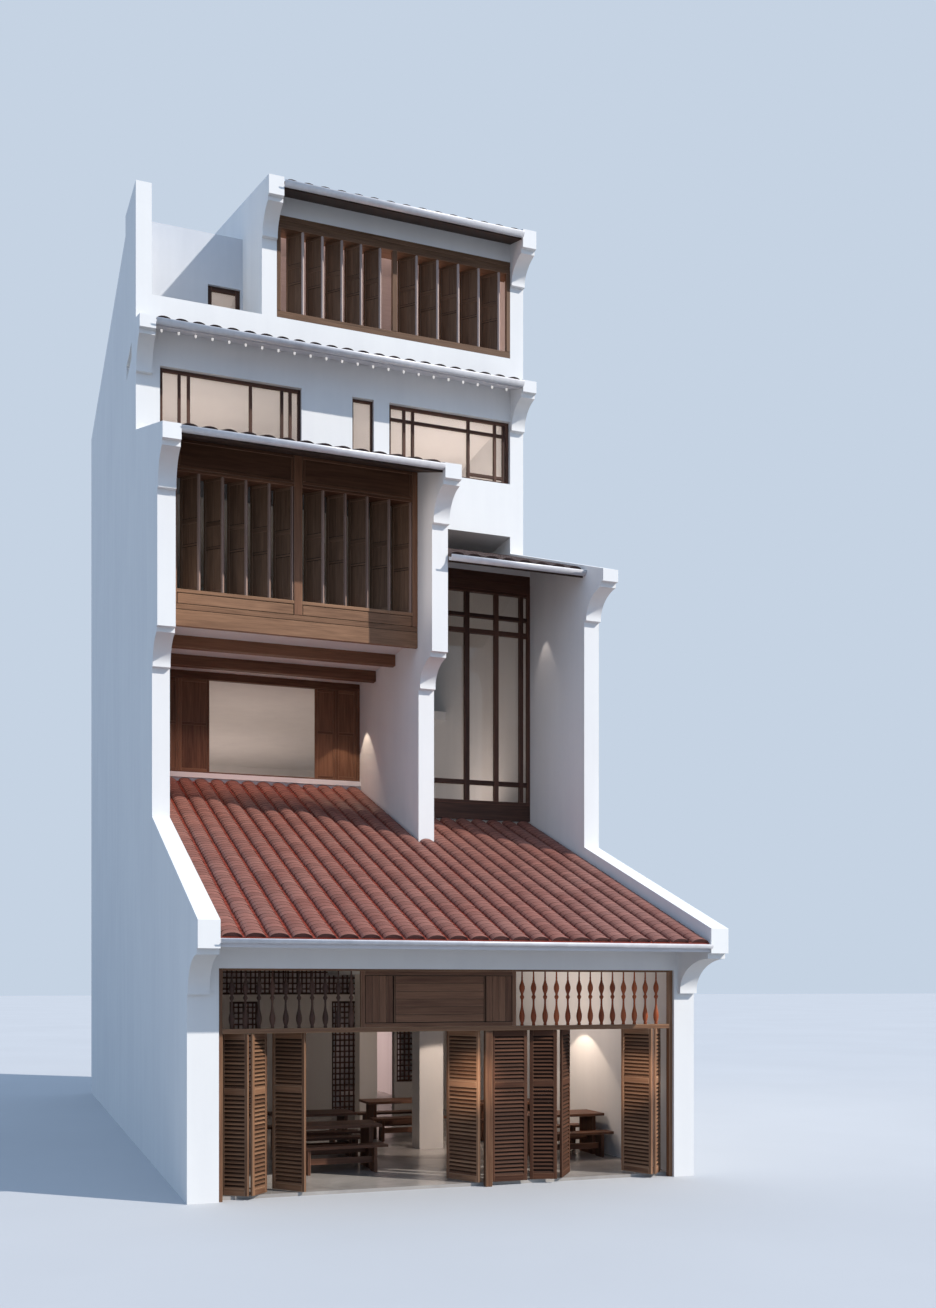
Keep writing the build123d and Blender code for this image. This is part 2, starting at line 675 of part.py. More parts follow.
def blade_width(x0, x1):
    """Width of each blade that fills a span, with room to turn."""
    return (x1 - x0) / BLADES_PER_HALF - BLADE_CLEARANCE


def blade_reach(x0, x1):
    """Half the depth that the turned blades of a span take."""
    angle = math.radians(BLADE_ANGLE)
    return (blade_width(x0, x1) * math.sin(angle) + BLADE_T * math.cos(angle)) / 2


def blade_side(x0, x1):
    """Half the width that a turned blade of a span takes."""
    angle = math.radians(BLADE_ANGLE)
    return (blade_width(x0, x1) * math.cos(angle) + BLADE_T * math.sin(angle)) / 2


def screen_depth(spans):
    """Depth of the boards that carry the blades."""
    return 2 * max(blade_reach(*span) for span in spans) + SCREEN_MARGIN


def blade(x, y, z0, z1, width):
    """One pivoting blade: a board with three panels sunk in its street side, turned about its middle."""
    height = z1 - z0 - 2 * BLADE_GAP
    half = width / 2
    inner = half - BLADE_BORDER
    face = -BLADE_T / 2
    board = block(-half, half, face, BLADE_T / 2, 0, height)
    levels = [0] + [share * height for share in BLADE_RAILS] + [height]
    for low, high in zip(levels[:-1], levels[1:]):
        board -= block(-inner, inner, face, face + BLADE_SINK, low + BLADE_BORDER, high - BLADE_BORDER / 2)
    return Pos(x, y, z0 + BLADE_GAP) * Rot(0, 0, -BLADE_ANGLE) * board


def blade_rows(spans, front_y, z0, z1):
    """Blades of a screen: their front edges share out each span and lie on the screen's front."""
    blades = []
    for span in spans:
        pitch = (span[1] - span[0]) / BLADES_PER_HALF
        y = front_y + blade_reach(*span)
        for i in range(BLADES_PER_HALF):
            x = span[0] + (i + 1) * pitch - blade_side(*span)
            blades.append(blade(x, y, z0, z1, blade_width(*span)))
    return group(blades)


def box_spans():
    """The two spans between the stiles and the post of the timber box."""
    return [(PARTY_T + BOX_LEFT_STILE, BOX_POST_X), (BOX_POST_X + BOX_POST_W, MID_X - BOX_RIGHT_STILE)]


def box_screen_frame():
    """Fascia, panel band, head, stiles and post of the timber box."""
    y0 = BOX_Y
    y1 = BOX_Y + BOX_FRAME_T
    y2 = BOX_Y + screen_depth(box_spans())
    top = rise(LEFT_EAVE_Y, LEFT_EAVE_Z, BOX_Y) - DECK_T
    set_y = y0 + BOX_PANEL_SET
    parts = [block(PARTY_T, MID_X, y0, y1, BOX_BOTTOM, BOX_FASCIA_TOP)]
    parts += [block(PARTY_T, MID_X, set_y, y1, BOX_FASCIA_TOP, BOX_PANEL_TOP)]
    parts += [block(PARTY_T, MID_X, set_y, y1, BOX_HEAD, top)]
    parts += [block(PARTY_T, MID_X, y0, y2, BOX_PANEL_TOP - SCREEN_BOARD_T, BOX_PANEL_TOP)]
    parts += [block(PARTY_T, MID_X, y0, y2, BOX_HEAD, BOX_HEAD + SCREEN_BOARD_T)]
    parts += [block(PARTY_T, PARTY_T + BOX_LEFT_STILE, y0, y1, BOX_BOTTOM, top)]
    parts += [block(BOX_POST_X, BOX_POST_X + BOX_POST_W, y0, y1, BOX_BOTTOM, top)]
    parts += [block(MID_X - BOX_RIGHT_STILE, MID_X, y0, y1, BOX_BOTTOM, top)]
    return join(parts)


def box_blades():
    """Ten blades in the timber box."""
    return blade_rows(box_spans(), BOX_Y, BOX_PANEL_TOP, BOX_HEAD)


def soffit_beams():
    """Timber beams under the floor of the box."""
    top = FLOOR_3 - SLAB_T
    foot = top - SOFFIT_BEAM_H
    return group([block(PARTY_T, MID_X, y, y + SOFFIT_BEAM_W, foot, top) for y in SOFFIT_BEAMS_Y])


def top_spans():
    """The two spans of the top screen, each with a rest at its right end."""
    left = (GABLE_END_X + TOP_STILE + TOP_LEFT_START, TOP_POST_X - TOP_LEFT_REST)
    right = (TOP_POST_X + TOP_POST_W, RIGHT_X - TOP_STILE - TOP_RIGHT_REST)
    return [left, right]


def top_screen_frame():
    """Sill, head, stiles and post of the top screen."""
    x0, x1 = GABLE_END_X, RIGHT_X
    y0 = UPPER_Y
    y1 = UPPER_Y + TOP_FRAME_T
    y2 = UPPER_Y + screen_depth(top_spans())
    sill_top = TOP_SILL + TOP_SILL_H
    head = TOP_HEAD - TOP_HEAD_H
    parts = [block(x0, x1, y0, y1, TOP_SILL, sill_top)]
    parts += [block(x0, x1, y0, y1, head, TOP_HEAD)]
    parts += [block(x0, x1, y0, y2, sill_top - SCREEN_BOARD_T, sill_top)]
    parts += [block(x0, x1, y0, y2, head, head + SCREEN_BOARD_T)]
    for x, w in ((x0, TOP_STILE), (TOP_POST_X, TOP_POST_W), (x1 - TOP_STILE, TOP_STILE)):
        parts.append(block(x, x + w, y0, y1, TOP_SILL, TOP_HEAD))
    return join(parts)


def top_blades():
    """Ten blades in the top screen."""
    return blade_rows(top_spans(), UPPER_Y, TOP_SILL + TOP_SILL_H, TOP_HEAD - TOP_HEAD_H)


def top_front_beam():
    """Rendered beam over the top screen, up to the deck."""
    z1 = rise(TOP_EAVE_Y, TOP_EAVE_Z, UPPER_Y) - DECK_T
    return block(GABLE_END_X, RIGHT_X, UPPER_Y, UPPER_Y + THIN_WALL, TOP_HEAD, z1)


def fourth_floor_sill_wall():
    """Wall under the fourth floor windows, down behind both bay roofs."""
    return block(PARTY_T, RIGHT_X, UPPER_Y, UPPER_Y + THIN_WALL, FLOOR_4 - SLAB_T, FOURTH_SILL)


def fourth_floor_piers():
    """Wall pieces between the fourth floor windows."""
    edges = [PARTY_T, *FOURTH_LEFT, *FOURTH_SLOT, FOURTH_RIGHT[0]]
    spans = zip(edges[0::2], edges[1::2])
    return group([block(a, b, UPPER_Y, UPPER_Y + THIN_WALL, FOURTH_SILL, FOURTH_HEAD) for a, b in spans])


def fourth_floor_parapet():
    """Band over the fourth floor windows that rises as the terrace parapet."""
    return block(PARTY_T, RIGHT_X, UPPER_Y, UPPER_Y + THIN_WALL, FOURTH_HEAD, TOP_SILL)


def fourth_window_frames():
    """Left window, slot and right window of the fourth floor."""
    y0 = UPPER_Y + REVEAL
    x0, x1 = FOURTH_LEFT
    posts = [(x0 + offset, SASH) for offset in FOURTH_LEFT_MULLIONS]
    posts += [(x1 - offset, SASH) for offset in FOURTH_LEFT_FAR_MULLIONS]
    left = grid_frame(x0, x1, FOURTH_SILL, FOURTH_HEAD, y0, SASH_T, posts)
    slot = grid_frame(*FOURTH_SLOT, FOURTH_SILL, FOURTH_HEAD, y0, SASH_T)
    x0, x1 = FOURTH_RIGHT
    posts = [(x0 + offset, SASH) for offset in FOURTH_RIGHT_MULLIONS]
    bars = [(FOURTH_HEAD - FOURTH_TOP_BAR, SASH, x0, x1)]
    bars += [(FOURTH_SILL + FOURTH_LOW_BAR, SASH, x0 + FOURTH_RIGHT_MULLIONS[2], x1)]
    right = grid_frame(x0, x1, FOURTH_SILL, FOURTH_HEAD, y0, SASH_T, posts, bars)
    return group([left, slot, right])


def pane(x0, x1, y_back, z0, z1):
    """A glass sheet that lies against the back of its frame."""
    return block(x0, x1, y_back, y_back + GLASS_T, z0, z1)


def fourth_window_glass():
    """One sheet behind each fourth floor frame."""
    y = UPPER_Y + REVEAL + SASH_T
    windows = (FOURTH_LEFT, FOURTH_SLOT, FOURTH_RIGHT)
    return group([pane(a, b, y, FOURTH_SILL, FOURTH_HEAD) for a, b in windows])


def second_floor_sill_wall():
    """Low wall and projecting sill under the window over the lean-to roof."""
    wall = block(PARTY_T, MID_X, PORCH_Y, PORCH_Y + THIN_WALL, FLOOR_2, PORCH_SILL)
    z0 = PORCH_SILL - PORCH_SILL_H
    sill = block(PARTY_T, MID_X, PORCH_Y - PORCH_SILL_OUT, PORCH_Y + THIN_WALL, z0, PORCH_SILL)
    return wall + sill


def second_floor_window_frame():
    """Head and jambs of the window over the lean-to roof, filled to the soffit."""
    head = FLOOR_3 - SLAB_T
    y0 = PORCH_Y + PORCH_FRAME_SET
    y1 = y0 + FRAME_D
    parts = [block(PARTY_T, MID_X, y0, y1, head - PORCH_HEAD_H, head)]
    parts += [block(PARTY_T, PARTY_T + SASH, y0, y1, PORCH_SILL, head)]
    parts += [block(MID_X - SASH, MID_X, y0, y1, PORCH_SILL, head)]
    parts += [block(PARTY_T, MID_X, y0, y1, PORCH_SILL, PORCH_SILL + PORCH_FOOT_H)]
    return join(parts)


def shutter(x0, x1, y0, z0, z1):
    """A framed shutter leaf with two sunk fields."""
    frame = grid_frame(x0, x1, z0, z1, y0, LEAF_T, (), [((z0 + z1) / 2, SASH, x0, x1)])
    sink = LEAF_T / 3
    return frame + block(x0, x1, y0 + sink, y0 + LEAF_T - sink, z0, z1)


def second_floor_shutters():
    """Leaves slid to both sides of the opening."""
    z0 = PORCH_SILL + PORCH_FOOT_H + SEAT
    z1 = FLOOR_3 - SLAB_T - PORCH_HEAD_H - SEAT
    y0 = PORCH_Y + PORCH_FRAME_SET + (FRAME_D - LEAF_T) / 2
    left = (PARTY_T + SASH, PARTY_T + LEFT_SHUTTERS_W)
    right = (MID_X - RIGHT_SHUTTERS_W, MID_X - SASH)
    leaves = []
    for x0, x1 in (left, right):
        middle = (x0 + x1) / 2
        leaves.append(shutter(x0 + SHUTTER_GAP, middle - SHUTTER_GAP, y0, z0, z1))
        leaves.append(shutter(middle + SHUTTER_GAP, x1 - SHUTTER_GAP, y0, z0, z1))
    return group(leaves)


def tall_window_frame():
    """Framed wall of glass over both storeys of the right bay."""
    x0, x1 = MID_END_X, RIGHT_X
    y0 = TALL_WINDOW_Y
    y1 = y0 + FRAME_D
    head = tall_head()
    posts = [(x1 - offset, width) for offset, width in TALL_MULLIONS]
    bars = [(head - drop, height, x0, x1) for drop, height in TALL_BARS_DOWN]
    bars.append((TALL_SILL + TALL_BAR_UP[0], TALL_BAR_UP[1], x0, x1))
    frame = grid_frame(x0, x1, TALL_SILL, head, y0, FRAME_D, posts, bars)
    sill = block(x0, x1, y0, y1, TALL_SILL - TALL_SILL_PANEL_H, TALL_SILL)
    lintel = block(x0, x1, y0, y1, head, head + TALL_LINTEL_H)
    return join([frame, sill, lintel])


def tall_head():
    """Top of the tall window, under its lintel and the wall up to the roof."""
    under = rise(RIGHT_EAVE_Y, RIGHT_EAVE_Z, TALL_WINDOW_Y) - DECK_T
    return under - TALL_HEAD_WALL_H - TALL_LINTEL_H


def tall_window_glass():
    """One sheet behind the tall frame."""
    return pane(MID_END_X, RIGHT_X, TALL_WINDOW_Y + FRAME_D, TALL_SILL, tall_head())


def tall_window_head_wall():
    """Wall between the tall window and the roof of its bay."""
    y0 = TALL_WINDOW_Y
    y1 = y0 + FRAME_D
    z0 = rise(RIGHT_EAVE_Y, RIGHT_EAVE_Z, y0) - DECK_T
    z1 = rise(RIGHT_EAVE_Y, RIGHT_EAVE_Z, y1) - DECK_T
    foot = tall_head() + TALL_LINTEL_H
    path = [(y0, foot), (y1, foot), (y1, z1), (y0, z0)]
    return side_profile(path, MID_END_X, RIGHT_X - MID_END_X)


def recess_shelf():
    """Floor and back of the slot between the right bay roof and the wall above it."""
    z0 = rise(RIGHT_EAVE_Y, RIGHT_EAVE_Z, UPPER_Y)
    back = RECESS_Y + RECESS_T
    head = FLOOR_4 - SLAB_T
    path = [(UPPER_Y, z0 - DECK_T), (back, z0 - DECK_T), (back, head), (RECESS_Y, head)]
    path += [(RECESS_Y, z0), (UPPER_Y, z0)]
    return side_profile(path, MID_END_X, RIGHT_X - MID_END_X)


def terrace_back_wall():
    """Wall behind the terrace with its doorway."""
    wall = block(PARTY_T, GABLE_X, TERRACE_BACK_Y, TERRACE_BACK_Y + THIN_WALL, FLOOR_5, TERRACE_WALL_TOP)
    x1 = TERRACE_DOOR_X + TERRACE_DOOR_W
    return wall - block(TERRACE_DOOR_X, x1, 0, DEPTH, FLOOR_5, TERRACE_DOOR_HEAD)


def terrace_door():
    """Glazed door leaf in its frame."""
    x1 = TERRACE_DOOR_X + TERRACE_DOOR_W
    y0 = TERRACE_BACK_Y + TERRACE_DOOR_SET
    rail = [(FLOOR_5 + TERRACE_DOOR_RAIL, SASH, TERRACE_DOOR_X, x1)]
    return grid_frame(TERRACE_DOOR_X, x1, FLOOR_5, TERRACE_DOOR_HEAD, y0, SASH_T, (), rail,
                      TERRACE_DOOR_BORDER)


def terrace_glass():
    """Glass of the terrace door and of the slit in the left wall."""
    x1 = TERRACE_DOOR_X + TERRACE_DOOR_W
    y0 = TERRACE_BACK_Y + TERRACE_DOOR_SET + SASH_T
    door = pane(TERRACE_DOOR_X, x1, y0, FLOOR_5, TERRACE_DOOR_HEAD)
    middle = PARTY_T / 2
    slit = block(middle, middle + GLASS_T, SLIT_Y, SLIT_Y + SLIT_W, SLIT_Z, SLIT_Z + SLIT_H)
    return group([door, slit])


def rear_window_frames():
    """Frames in the rear wall."""
    y0 = REAR_Y + REVEAL
    return group([grid_frame(x, x + w, z0, z1, y0, SASH_T, [(x + w / 2 - SASH / 2, SASH)])
                  for x, w, z0, z1 in rear_openings()])


def rear_window_glass():
    """Panes on the inside of the rear frames."""
    y0 = REAR_Y + REVEAL - GLASS_T
    return group([pane(x, x + w, y0, z0, z1) for x, w, z0, z1 in rear_openings()])


def ground_front_beam():
    """Rendered beam over the shopfront, up to the deck of the lean-to."""
    y1 = FRONT_Y + FRONT_WALL_T
    z0 = rise(LOWER_EAVE_Y, LOWER_EAVE_Z, FRONT_Y) - DECK_T
    z1 = rise(LOWER_EAVE_Y, LOWER_EAVE_Z, y1) - DECK_T
    path = [(FRONT_Y, OPENING_HEAD), (y1, OPENING_HEAD), (y1, z1), (FRONT_Y, z0)]
    return side_profile(path, PARTY_T, RIGHT_X - PARTY_T)


def ground_front_jambs():
    """Narrow rendered strips beside the shopfront."""
    y1 = FRONT_Y + FRONT_WALL_T
    left = block(PARTY_T, OPENING_LEFT, FRONT_Y, y1, 0, OPENING_HEAD)
    right = block(OPENING_RIGHT, RIGHT_X, FRONT_Y, y1, 0, OPENING_HEAD)
    return group([left, right])


def hall_piers():
    """Two piers under the wall between the bays."""
    first = block(MID_X, MID_X + PIER_W, PIER_1_Y, PIER_1_Y + PIER_W, FLOOR_1, OPENING_HEAD)
    x0 = MID_X - PIER_2_OUT
    second = block(x0, x0 + PIER_2_W, PIER_2_Y, PIER_2_Y + PIER_2_W, FLOOR_1, OPENING_HEAD)
    return group([first, second])


def right_bay(shares):
    """Places across the right bay of the hall."""
    return tuple(MID_X + share * (RIGHT_X - MID_X) for share in shares)


def lattice_openings():
    """Left, right, bottom and top of each lattice in the wall across the hall."""
    door_x = MID_X - LEFT_LATTICE_DOOR[0]
    return [
        (door_x, door_x + LEFT_LATTICE_DOOR[1], FLOOR_1, CROSS_HEAD),
        (*right_bay(RIGHT_LATTICE_DOOR), FLOOR_1, CROSS_HEAD),
        (*right_bay(LATTICE_WINDOW), LATTICE_SILL, CROSS_HEAD),
        (PARTY_T + BAND_MARGIN, right_bay(LATTICE_WINDOW)[1], BAND_BOTTOM, BAND_TOP),
    ]


def hall_doorway():
    """The open doorway in the wall across the hall."""
    return (*right_bay(HALL_DOORWAY), FLOOR_1, CROSS_HEAD)


def across_hall(z0, z1):
    """The wall across the hall between two levels, with its openings cut through."""
    y1 = CROSS_WALL_Y + THIN_WALL
    wall = block(PARTY_T, RIGHT_X, CROSS_WALL_Y, y1, z0, z1)
    for x0, x1, low, high in lattice_openings() + [hall_doorway()]:
        wall -= block(x0, x1, CROSS_WALL_Y, y1, low, high)
    return wall


def hall_lattices():
    """Timber lattices in the openings of the cross wall."""
    lattices = []
    half = LATTICE_BAR / 2
    for x0, x1, z0, z1 in lattice_openings():
        columns = max(2, round((x1 - x0) / LATTICE_CELL))
        rows = max(2, round((z1 - z0) / LATTICE_CELL))
        posts = [(x0 + i * (x1 - x0) / columns - half, LATTICE_BAR) for i in range(1, columns)]
        bars = [(z0 + i * (z1 - z0) / rows - half, LATTICE_BAR, x0, x1) for i in range(1, rows)]
        y0 = CROSS_WALL_Y + LATTICE_SET
        lattices.append(grid_frame(x0, x1, z0, z1, y0, LATTICE_T, posts, bars, LATTICE_BORDER))
    return group(lattices)


def trestle(x, y, length, width, height, top_t, leg_t, leg_inset, leg_margin):
    """Thick top on two slab legs with a stretcher between them."""
    z1 = FLOOR_1 + height
    leg_x = length / 2 - leg_inset
    leg_y = width / 2 - leg_margin
    parts = [block(x - length / 2, x + length / 2, y - width / 2, y + width / 2, z1 - top_t, z1)]
    for leg in (x - leg_x, x + leg_x):
        parts.append(block(leg - leg_t / 2, leg + leg_t / 2, y - leg_y, y + leg_y, FLOOR_1, z1 - top_t))
    low = FLOOR_1 + height / 3
    parts.append(block(x - leg_x, x + leg_x, y - leg_t / 2, y + leg_t / 2, low, low + 2 * leg_t))
    return join(parts)


def table_places():
    """Middle of each table: on the left, between the piers and along the right wall."""
    right = RIGHT_X - TABLE_TO_WALL - TABLE_L / 2
    return [(PARTY_T + x, y) for x, y in LEFT_TABLES] + [(right, y) for y in RIGHT_TABLES_Y]


def dining_tables():
    """Tables in the hall."""
    return group([trestle(x, y, TABLE_L, TABLE_W, TABLE_H, TABLE_TOP_T, TABLE_LEG_T, TABLE_LEG_INSET,
                          TABLE_LEG_MARGIN) for x, y in table_places()])


def dining_benches():
    """A bench on each side of every table."""
    reach = TABLE_W / 2 + BENCH_W / 2 + BENCH_TO_TABLE
    places = [(x, y + side * reach) for x, y in table_places() for side in (-1, 1)]
    return group([trestle(x, y, TABLE_L, BENCH_W, BENCH_H, BENCH_TOP_T, BENCH_LEG_T, BENCH_LEG_INSET,
                          BENCH_LEG_MARGIN) for x, y in places])


def main():
    os.makedirs("parts", exist_ok=True)
    shapes = {
        "left_party_wall": left_party_wall(),
        "terrace_side_wall": terrace_side_wall(),
        "right_party_wall": right_party_wall(),
        "mid_party_wall": mid_party_wall(),
        "top_gable_wall": top_gable_wall(),
        "ground_front_beam": ground_front_beam(),
        "ground_front_jambs": ground_front_jambs(),
        "fourth_floor_sill_wall": fourth_floor_sill_wall(),
        "fourth_floor_piers": fourth_floor_piers(),
        "fourth_floor_parapet": fourth_floor_parapet(),
        "top_front_beam": top_front_beam(),
        "terrace_back_wall": terrace_back_wall(),
        "recess_shelf": recess_shelf(),
        "second_floor_sill_wall": second_floor_sill_wall(),
        "tall_window_head_wall": tall_window_head_wall(),
        "rear_wall": rear_wall(),
        **floor_slabs(),
        "hall_piers": hall_piers(),
        "hall_cross_piers": across_hall(FLOOR_1, CROSS_HEAD),
        "hall_cross_wall": across_hall(CROSS_HEAD, FLOOR_2 - SLAB_T),
        "hall_lattices": hall_lattices(),
        "dining_tables": dining_tables(),
        "dining_benches": dining_benches(),
        "lower_roof_deck": lower_roof(deck),
        "lower_roof_tiles": lower_roof(tile_sheet),
        "upper_roof_decks": upper_roofs(deck),
        "upper_roof_tiles": upper_roofs(tile_sheet),
        "top_roof_deck": top_roof_deck(),
        "top_roof_tiles": top_roof_tiles(),
        "top_roof_ridge": top_roof_ridge(),
        "eave_gutters": eave_gutters(),
        "ground_door_frame": ground_door_frame(),
        "transom_balusters": transom_balusters(),
        "transom_panel": transom_panel(),
        **all_leaves(),
        "box_screen_frame": box_screen_frame(),
        "box_blades": box_blades(),
        "soffit_beams": soffit_beams(),
        "top_screen_frame": top_screen_frame(),
        "top_blades": top_blades(),
        "second_floor_window_frame": second_floor_window_frame(),
        "second_floor_shutters": second_floor_shutters(),
        "tall_window_frame": tall_window_frame(),
        "tall_window_glass": tall_window_glass(),
        "fourth_window_frames": fourth_window_frames(),
        "fourth_window_glass": fourth_window_glass(),
        "terrace_door": terrace_door(),
        "terrace_glass": terrace_glass(),
        "rear_window_frames": rear_window_frames(),
        "rear_window_glass": rear_window_glass(),
    }
    for name, shape in shapes.items():
        save(name, shape)


main()
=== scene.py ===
"""Looks of the townhouse: joinery, roof tiles, gutters, finishes, light and camera around the CAD frame.

Metres. Places are given on the plot: x from the outer face of the left wall, y from the front of the
ground storey towards the back, z up from the ground. ORIGIN takes them to the CAD frame.
"""

import itertools
import math
import random

import bmesh
import bpy
from mathutils import Matrix, Vector


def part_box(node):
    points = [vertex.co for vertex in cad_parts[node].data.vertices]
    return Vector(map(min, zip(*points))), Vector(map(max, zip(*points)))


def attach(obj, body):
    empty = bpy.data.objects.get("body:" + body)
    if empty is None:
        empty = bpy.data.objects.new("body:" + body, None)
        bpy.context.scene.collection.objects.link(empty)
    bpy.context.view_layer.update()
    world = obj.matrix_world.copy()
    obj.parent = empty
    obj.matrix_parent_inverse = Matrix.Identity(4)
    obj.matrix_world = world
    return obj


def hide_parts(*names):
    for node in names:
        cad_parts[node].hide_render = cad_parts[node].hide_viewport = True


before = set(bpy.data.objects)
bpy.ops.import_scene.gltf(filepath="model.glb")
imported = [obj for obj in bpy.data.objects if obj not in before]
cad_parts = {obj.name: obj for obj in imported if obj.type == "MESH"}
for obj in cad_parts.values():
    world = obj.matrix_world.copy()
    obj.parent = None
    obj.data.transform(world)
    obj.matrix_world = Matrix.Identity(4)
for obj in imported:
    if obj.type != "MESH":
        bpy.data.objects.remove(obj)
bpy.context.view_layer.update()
ORIGIN = Vector((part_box("left_party_wall")[0].x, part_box("ground_front_beam")[0].y, 0))


def plot_box(node):
    """Pairs of planes round a CAD node, on the plot."""
    low, high = (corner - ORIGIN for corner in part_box(node))
    return (low.x, high.x), (low.y, high.y), (low.z, high.z)


# Plot
WALL = 0.30
MID_X = 4.81
MID_END_X = MID_X + WALL
GABLE_END_X = 2.74
RIGHT_X = plot_box("right_party_wall")[0][0]
REAR_Y = 20.0
FLOOR_1 = 0.05
UPPER_FLOORS = (6.60, 9.74, 12.83, 15.40)

# Shopfront
OPEN_LEFT = WALL + 0.145
OPEN_RIGHT = RIGHT_X - 0.06
OPEN_HEAD = 3.31
TIMBER_Y = 0.05
TIMBER_T = 0.10
RAIL_LOW = 2.38
RAIL_HIGH = 2.45
HEAD_STRIP = 0.03
POST_W = 0.06
SHOP_X = (OPEN_LEFT + POST_W, OPEN_RIGHT - POST_W)
CENTRE_POST = (MID_X - 0.32, MID_X - 0.21)
PANEL = (MID_X + 0.18 - 2.46, MID_X + 0.18)
BALUSTER_R = 0.044
SEAM = 0.010
SLAT_PITCH = 0.060
SLAT_TILT = math.radians(57)

# Screens
BOX_Y = 4.44
BOX_POSTS = ((WALL, WALL + 0.125), (2.49, 2.64), (MID_X - 0.10, MID_X))
BOX_SPANS = [(a[1], b[0]) for a, b in zip(BOX_POSTS, BOX_POSTS[1:])]
TOP_Y = 7.20
TOP_POST_X = MID_END_X + 0.04
TOP_SPANS = ((GABLE_END_X + 0.16, TOP_POST_X - 0.23), (TOP_POST_X + 0.10, RIGHT_X - 0.22))
BLADES = 5
BLADE_T = 0.045
BLADE_TURN = math.radians(43)
BLADE_GAP = 0.008
SASH = 0.06

# Roofs, with the y and z of each eave
PITCH = math.radians(20.5)
LOWER_EAVE = (-1.0, 3.70)
LEFT_EAVE = (3.01, 12.15)
RIGHT_EAVE = (3.56, 10.79)
FOURTH_EAVE = (6.56, 15.64)
TOP_EAVE = (6.56, 18.74)
RIDGE_Y = 13.23
RIDGE_Z = TOP_EAVE[1] + math.tan(PITCH) * (RIDGE_Y - TOP_EAVE[0])
REAR_EAVE = (REAR_Y, RIDGE_Z - math.tan(PITCH) * (REAR_Y - RIDGE_Y))
RIDGE_GAP = 0.02
DECK_T = 0.12
PORCH_Y = 8.50
MID_FRONT_Y = 4.39
TALL_Y = 6.10
EXPOSURE = 0.15
TILE_LENGTH = 0.20
TILE_SKIN = 0.010
TILE_BASE = 0.018
TILE_RISE = 0.066
VALLEY_W = 0.044
ROW_PITCH = 0.325

# Gutters, with the radius of each and its drop below the eave
SMALL_GUTTER = (0.062, 0.010)
BAY_GUTTER = (0.085, 0.025)
LARGE_GUTTER = (0.090, 0.040)
PEG_Y = 7.0
PEG_PROFILE = ((0.055, 0.008), (0.048, 0.018), (0.030, 0.022), (-0.02, 0.022))

# Which deck boards are painted: under the lean-to, at the fourth floor eave and in the top room
LEAN_TO_BELOW = 8.5
FOURTH_EAVE_Z = (14.0, 17.0)
TOP_ROOM_Y = TOP_Y + 0.2 + ORIGIN.y

# Daylight
SUN_AZIMUTH = math.radians(48)
SUN_HEIGHT = math.radians(37)


def added(name, data):
    """A new object in the scene."""
    made = bpy.data.objects.new(name, data)
    bpy.context.scene.collection.objects.link(made)
    return made


class Nodes:
    """Shader nodes of a material or of the world."""

    def __init__(self, owner):
        owner.use_nodes = True
        self.tree = owner.node_tree

    def node(self, kind, inputs=(), **settings):
        """Add a node; an input is a value or the socket that feeds it."""
        made = self.tree.nodes.new("ShaderNode" + kind)
        for key, value in settings.items():
            setattr(made, key, value)
        for key, value in dict(inputs).items():
            if isinstance(value, bpy.types.NodeSocket):
                self.tree.links.new(value, made.inputs[key])
            else:
                made.inputs[key].default_value = value
        return made

    def math(self, operation, a, b):
        """One sum on two factors."""
        return self.node("Math", {0: a, 1: b}, operation=operation).outputs[0]

    def background_rays(self):
        """1 for rays from the camera, reflections and glass, which see the background's own colour."""
        rays = self.node("LightPath").outputs
        seen = self.math("MAXIMUM", rays["Is Camera Ray"], rays["Is Glossy Ray"])
        return self.math("MAXIMUM", seen, rays["Is Transmission Ray"])


class Finish(Nodes):
    """A material under construction."""

    def __init__(self, name, **sockets):
        self.material = bpy.data.materials.new(name)
        super().__init__(self.material)
        self.shader = self.tree.nodes["Principled BSDF"]
        for socket, value in sockets.items():
            self.shader.inputs[socket.replace("_", " ")].default_value = value

    def noise(self, vector, scale, detail, roughness, distortion=0.0):
        """Noise between 0 and 1."""
        made = self.node("TexNoise", {"Vector": vector, "Scale": scale, "Detail": detail,
                                      "Roughness": roughness, "Distortion": distortion})
        return made.outputs["Fac"]

    def ramp(self, factor, *stops):
        """Colours at places along a factor."""
        made = self.node("ValToRGB", {"Fac": factor})
        elements = made.color_ramp.elements
        while len(elements) < len(stops):
            elements.new(0.5)
        for element, (place, colour) in zip(elements, stops):
            element.position = place
            element.color = (*colour, 1)
        return made.outputs["Color"]

    def mix(self, factor, a, b):
        """Mix of two colours."""
        a, b = ((*colour, 1) if isinstance(colour, tuple) else colour for colour in (a, b))
        return self.node("Mix", {0: factor, 6: a, 7: b}, data_type="RGBA").outputs[2]

    def spread(self, factor, low, high):
        """Factor between 0 and 1 spread between two values."""
        made = self.node("MapRange", {"Value": factor, "To Min": low, "To Max": high})
        return made.outputs["Result"]

    def stretched(self, vector, scale):
        """Coordinates stretched along each axis."""
        return self.node("Mapping", {"Vector": vector, "Scale": scale}).outputs["Vector"]

    def position(self):
        """Place on the object, which is the row frame."""
        return self.node("TexCoord").outputs["Object"]

    def attribute(self, name, output="Fac"):
        """A value kept on the mesh."""
        return self.node("Attribute", attribute_name=name).outputs[output]

    def finish(self, colour, roughness, height, depth, strength):
        """Link colour, roughness and bump, and give the material."""
        bump = self.node("Bump", {"Height": height, "Strength": strength, "Distance": depth})
        links = self.tree.links
        links.new(colour, self.shader.inputs["Base Color"])
        links.new(bump.outputs["Normal"], self.shader.inputs["Normal"])
        if roughness is not None:
            links.new(roughness, self.shader.inputs["Roughness"])
        return self.material


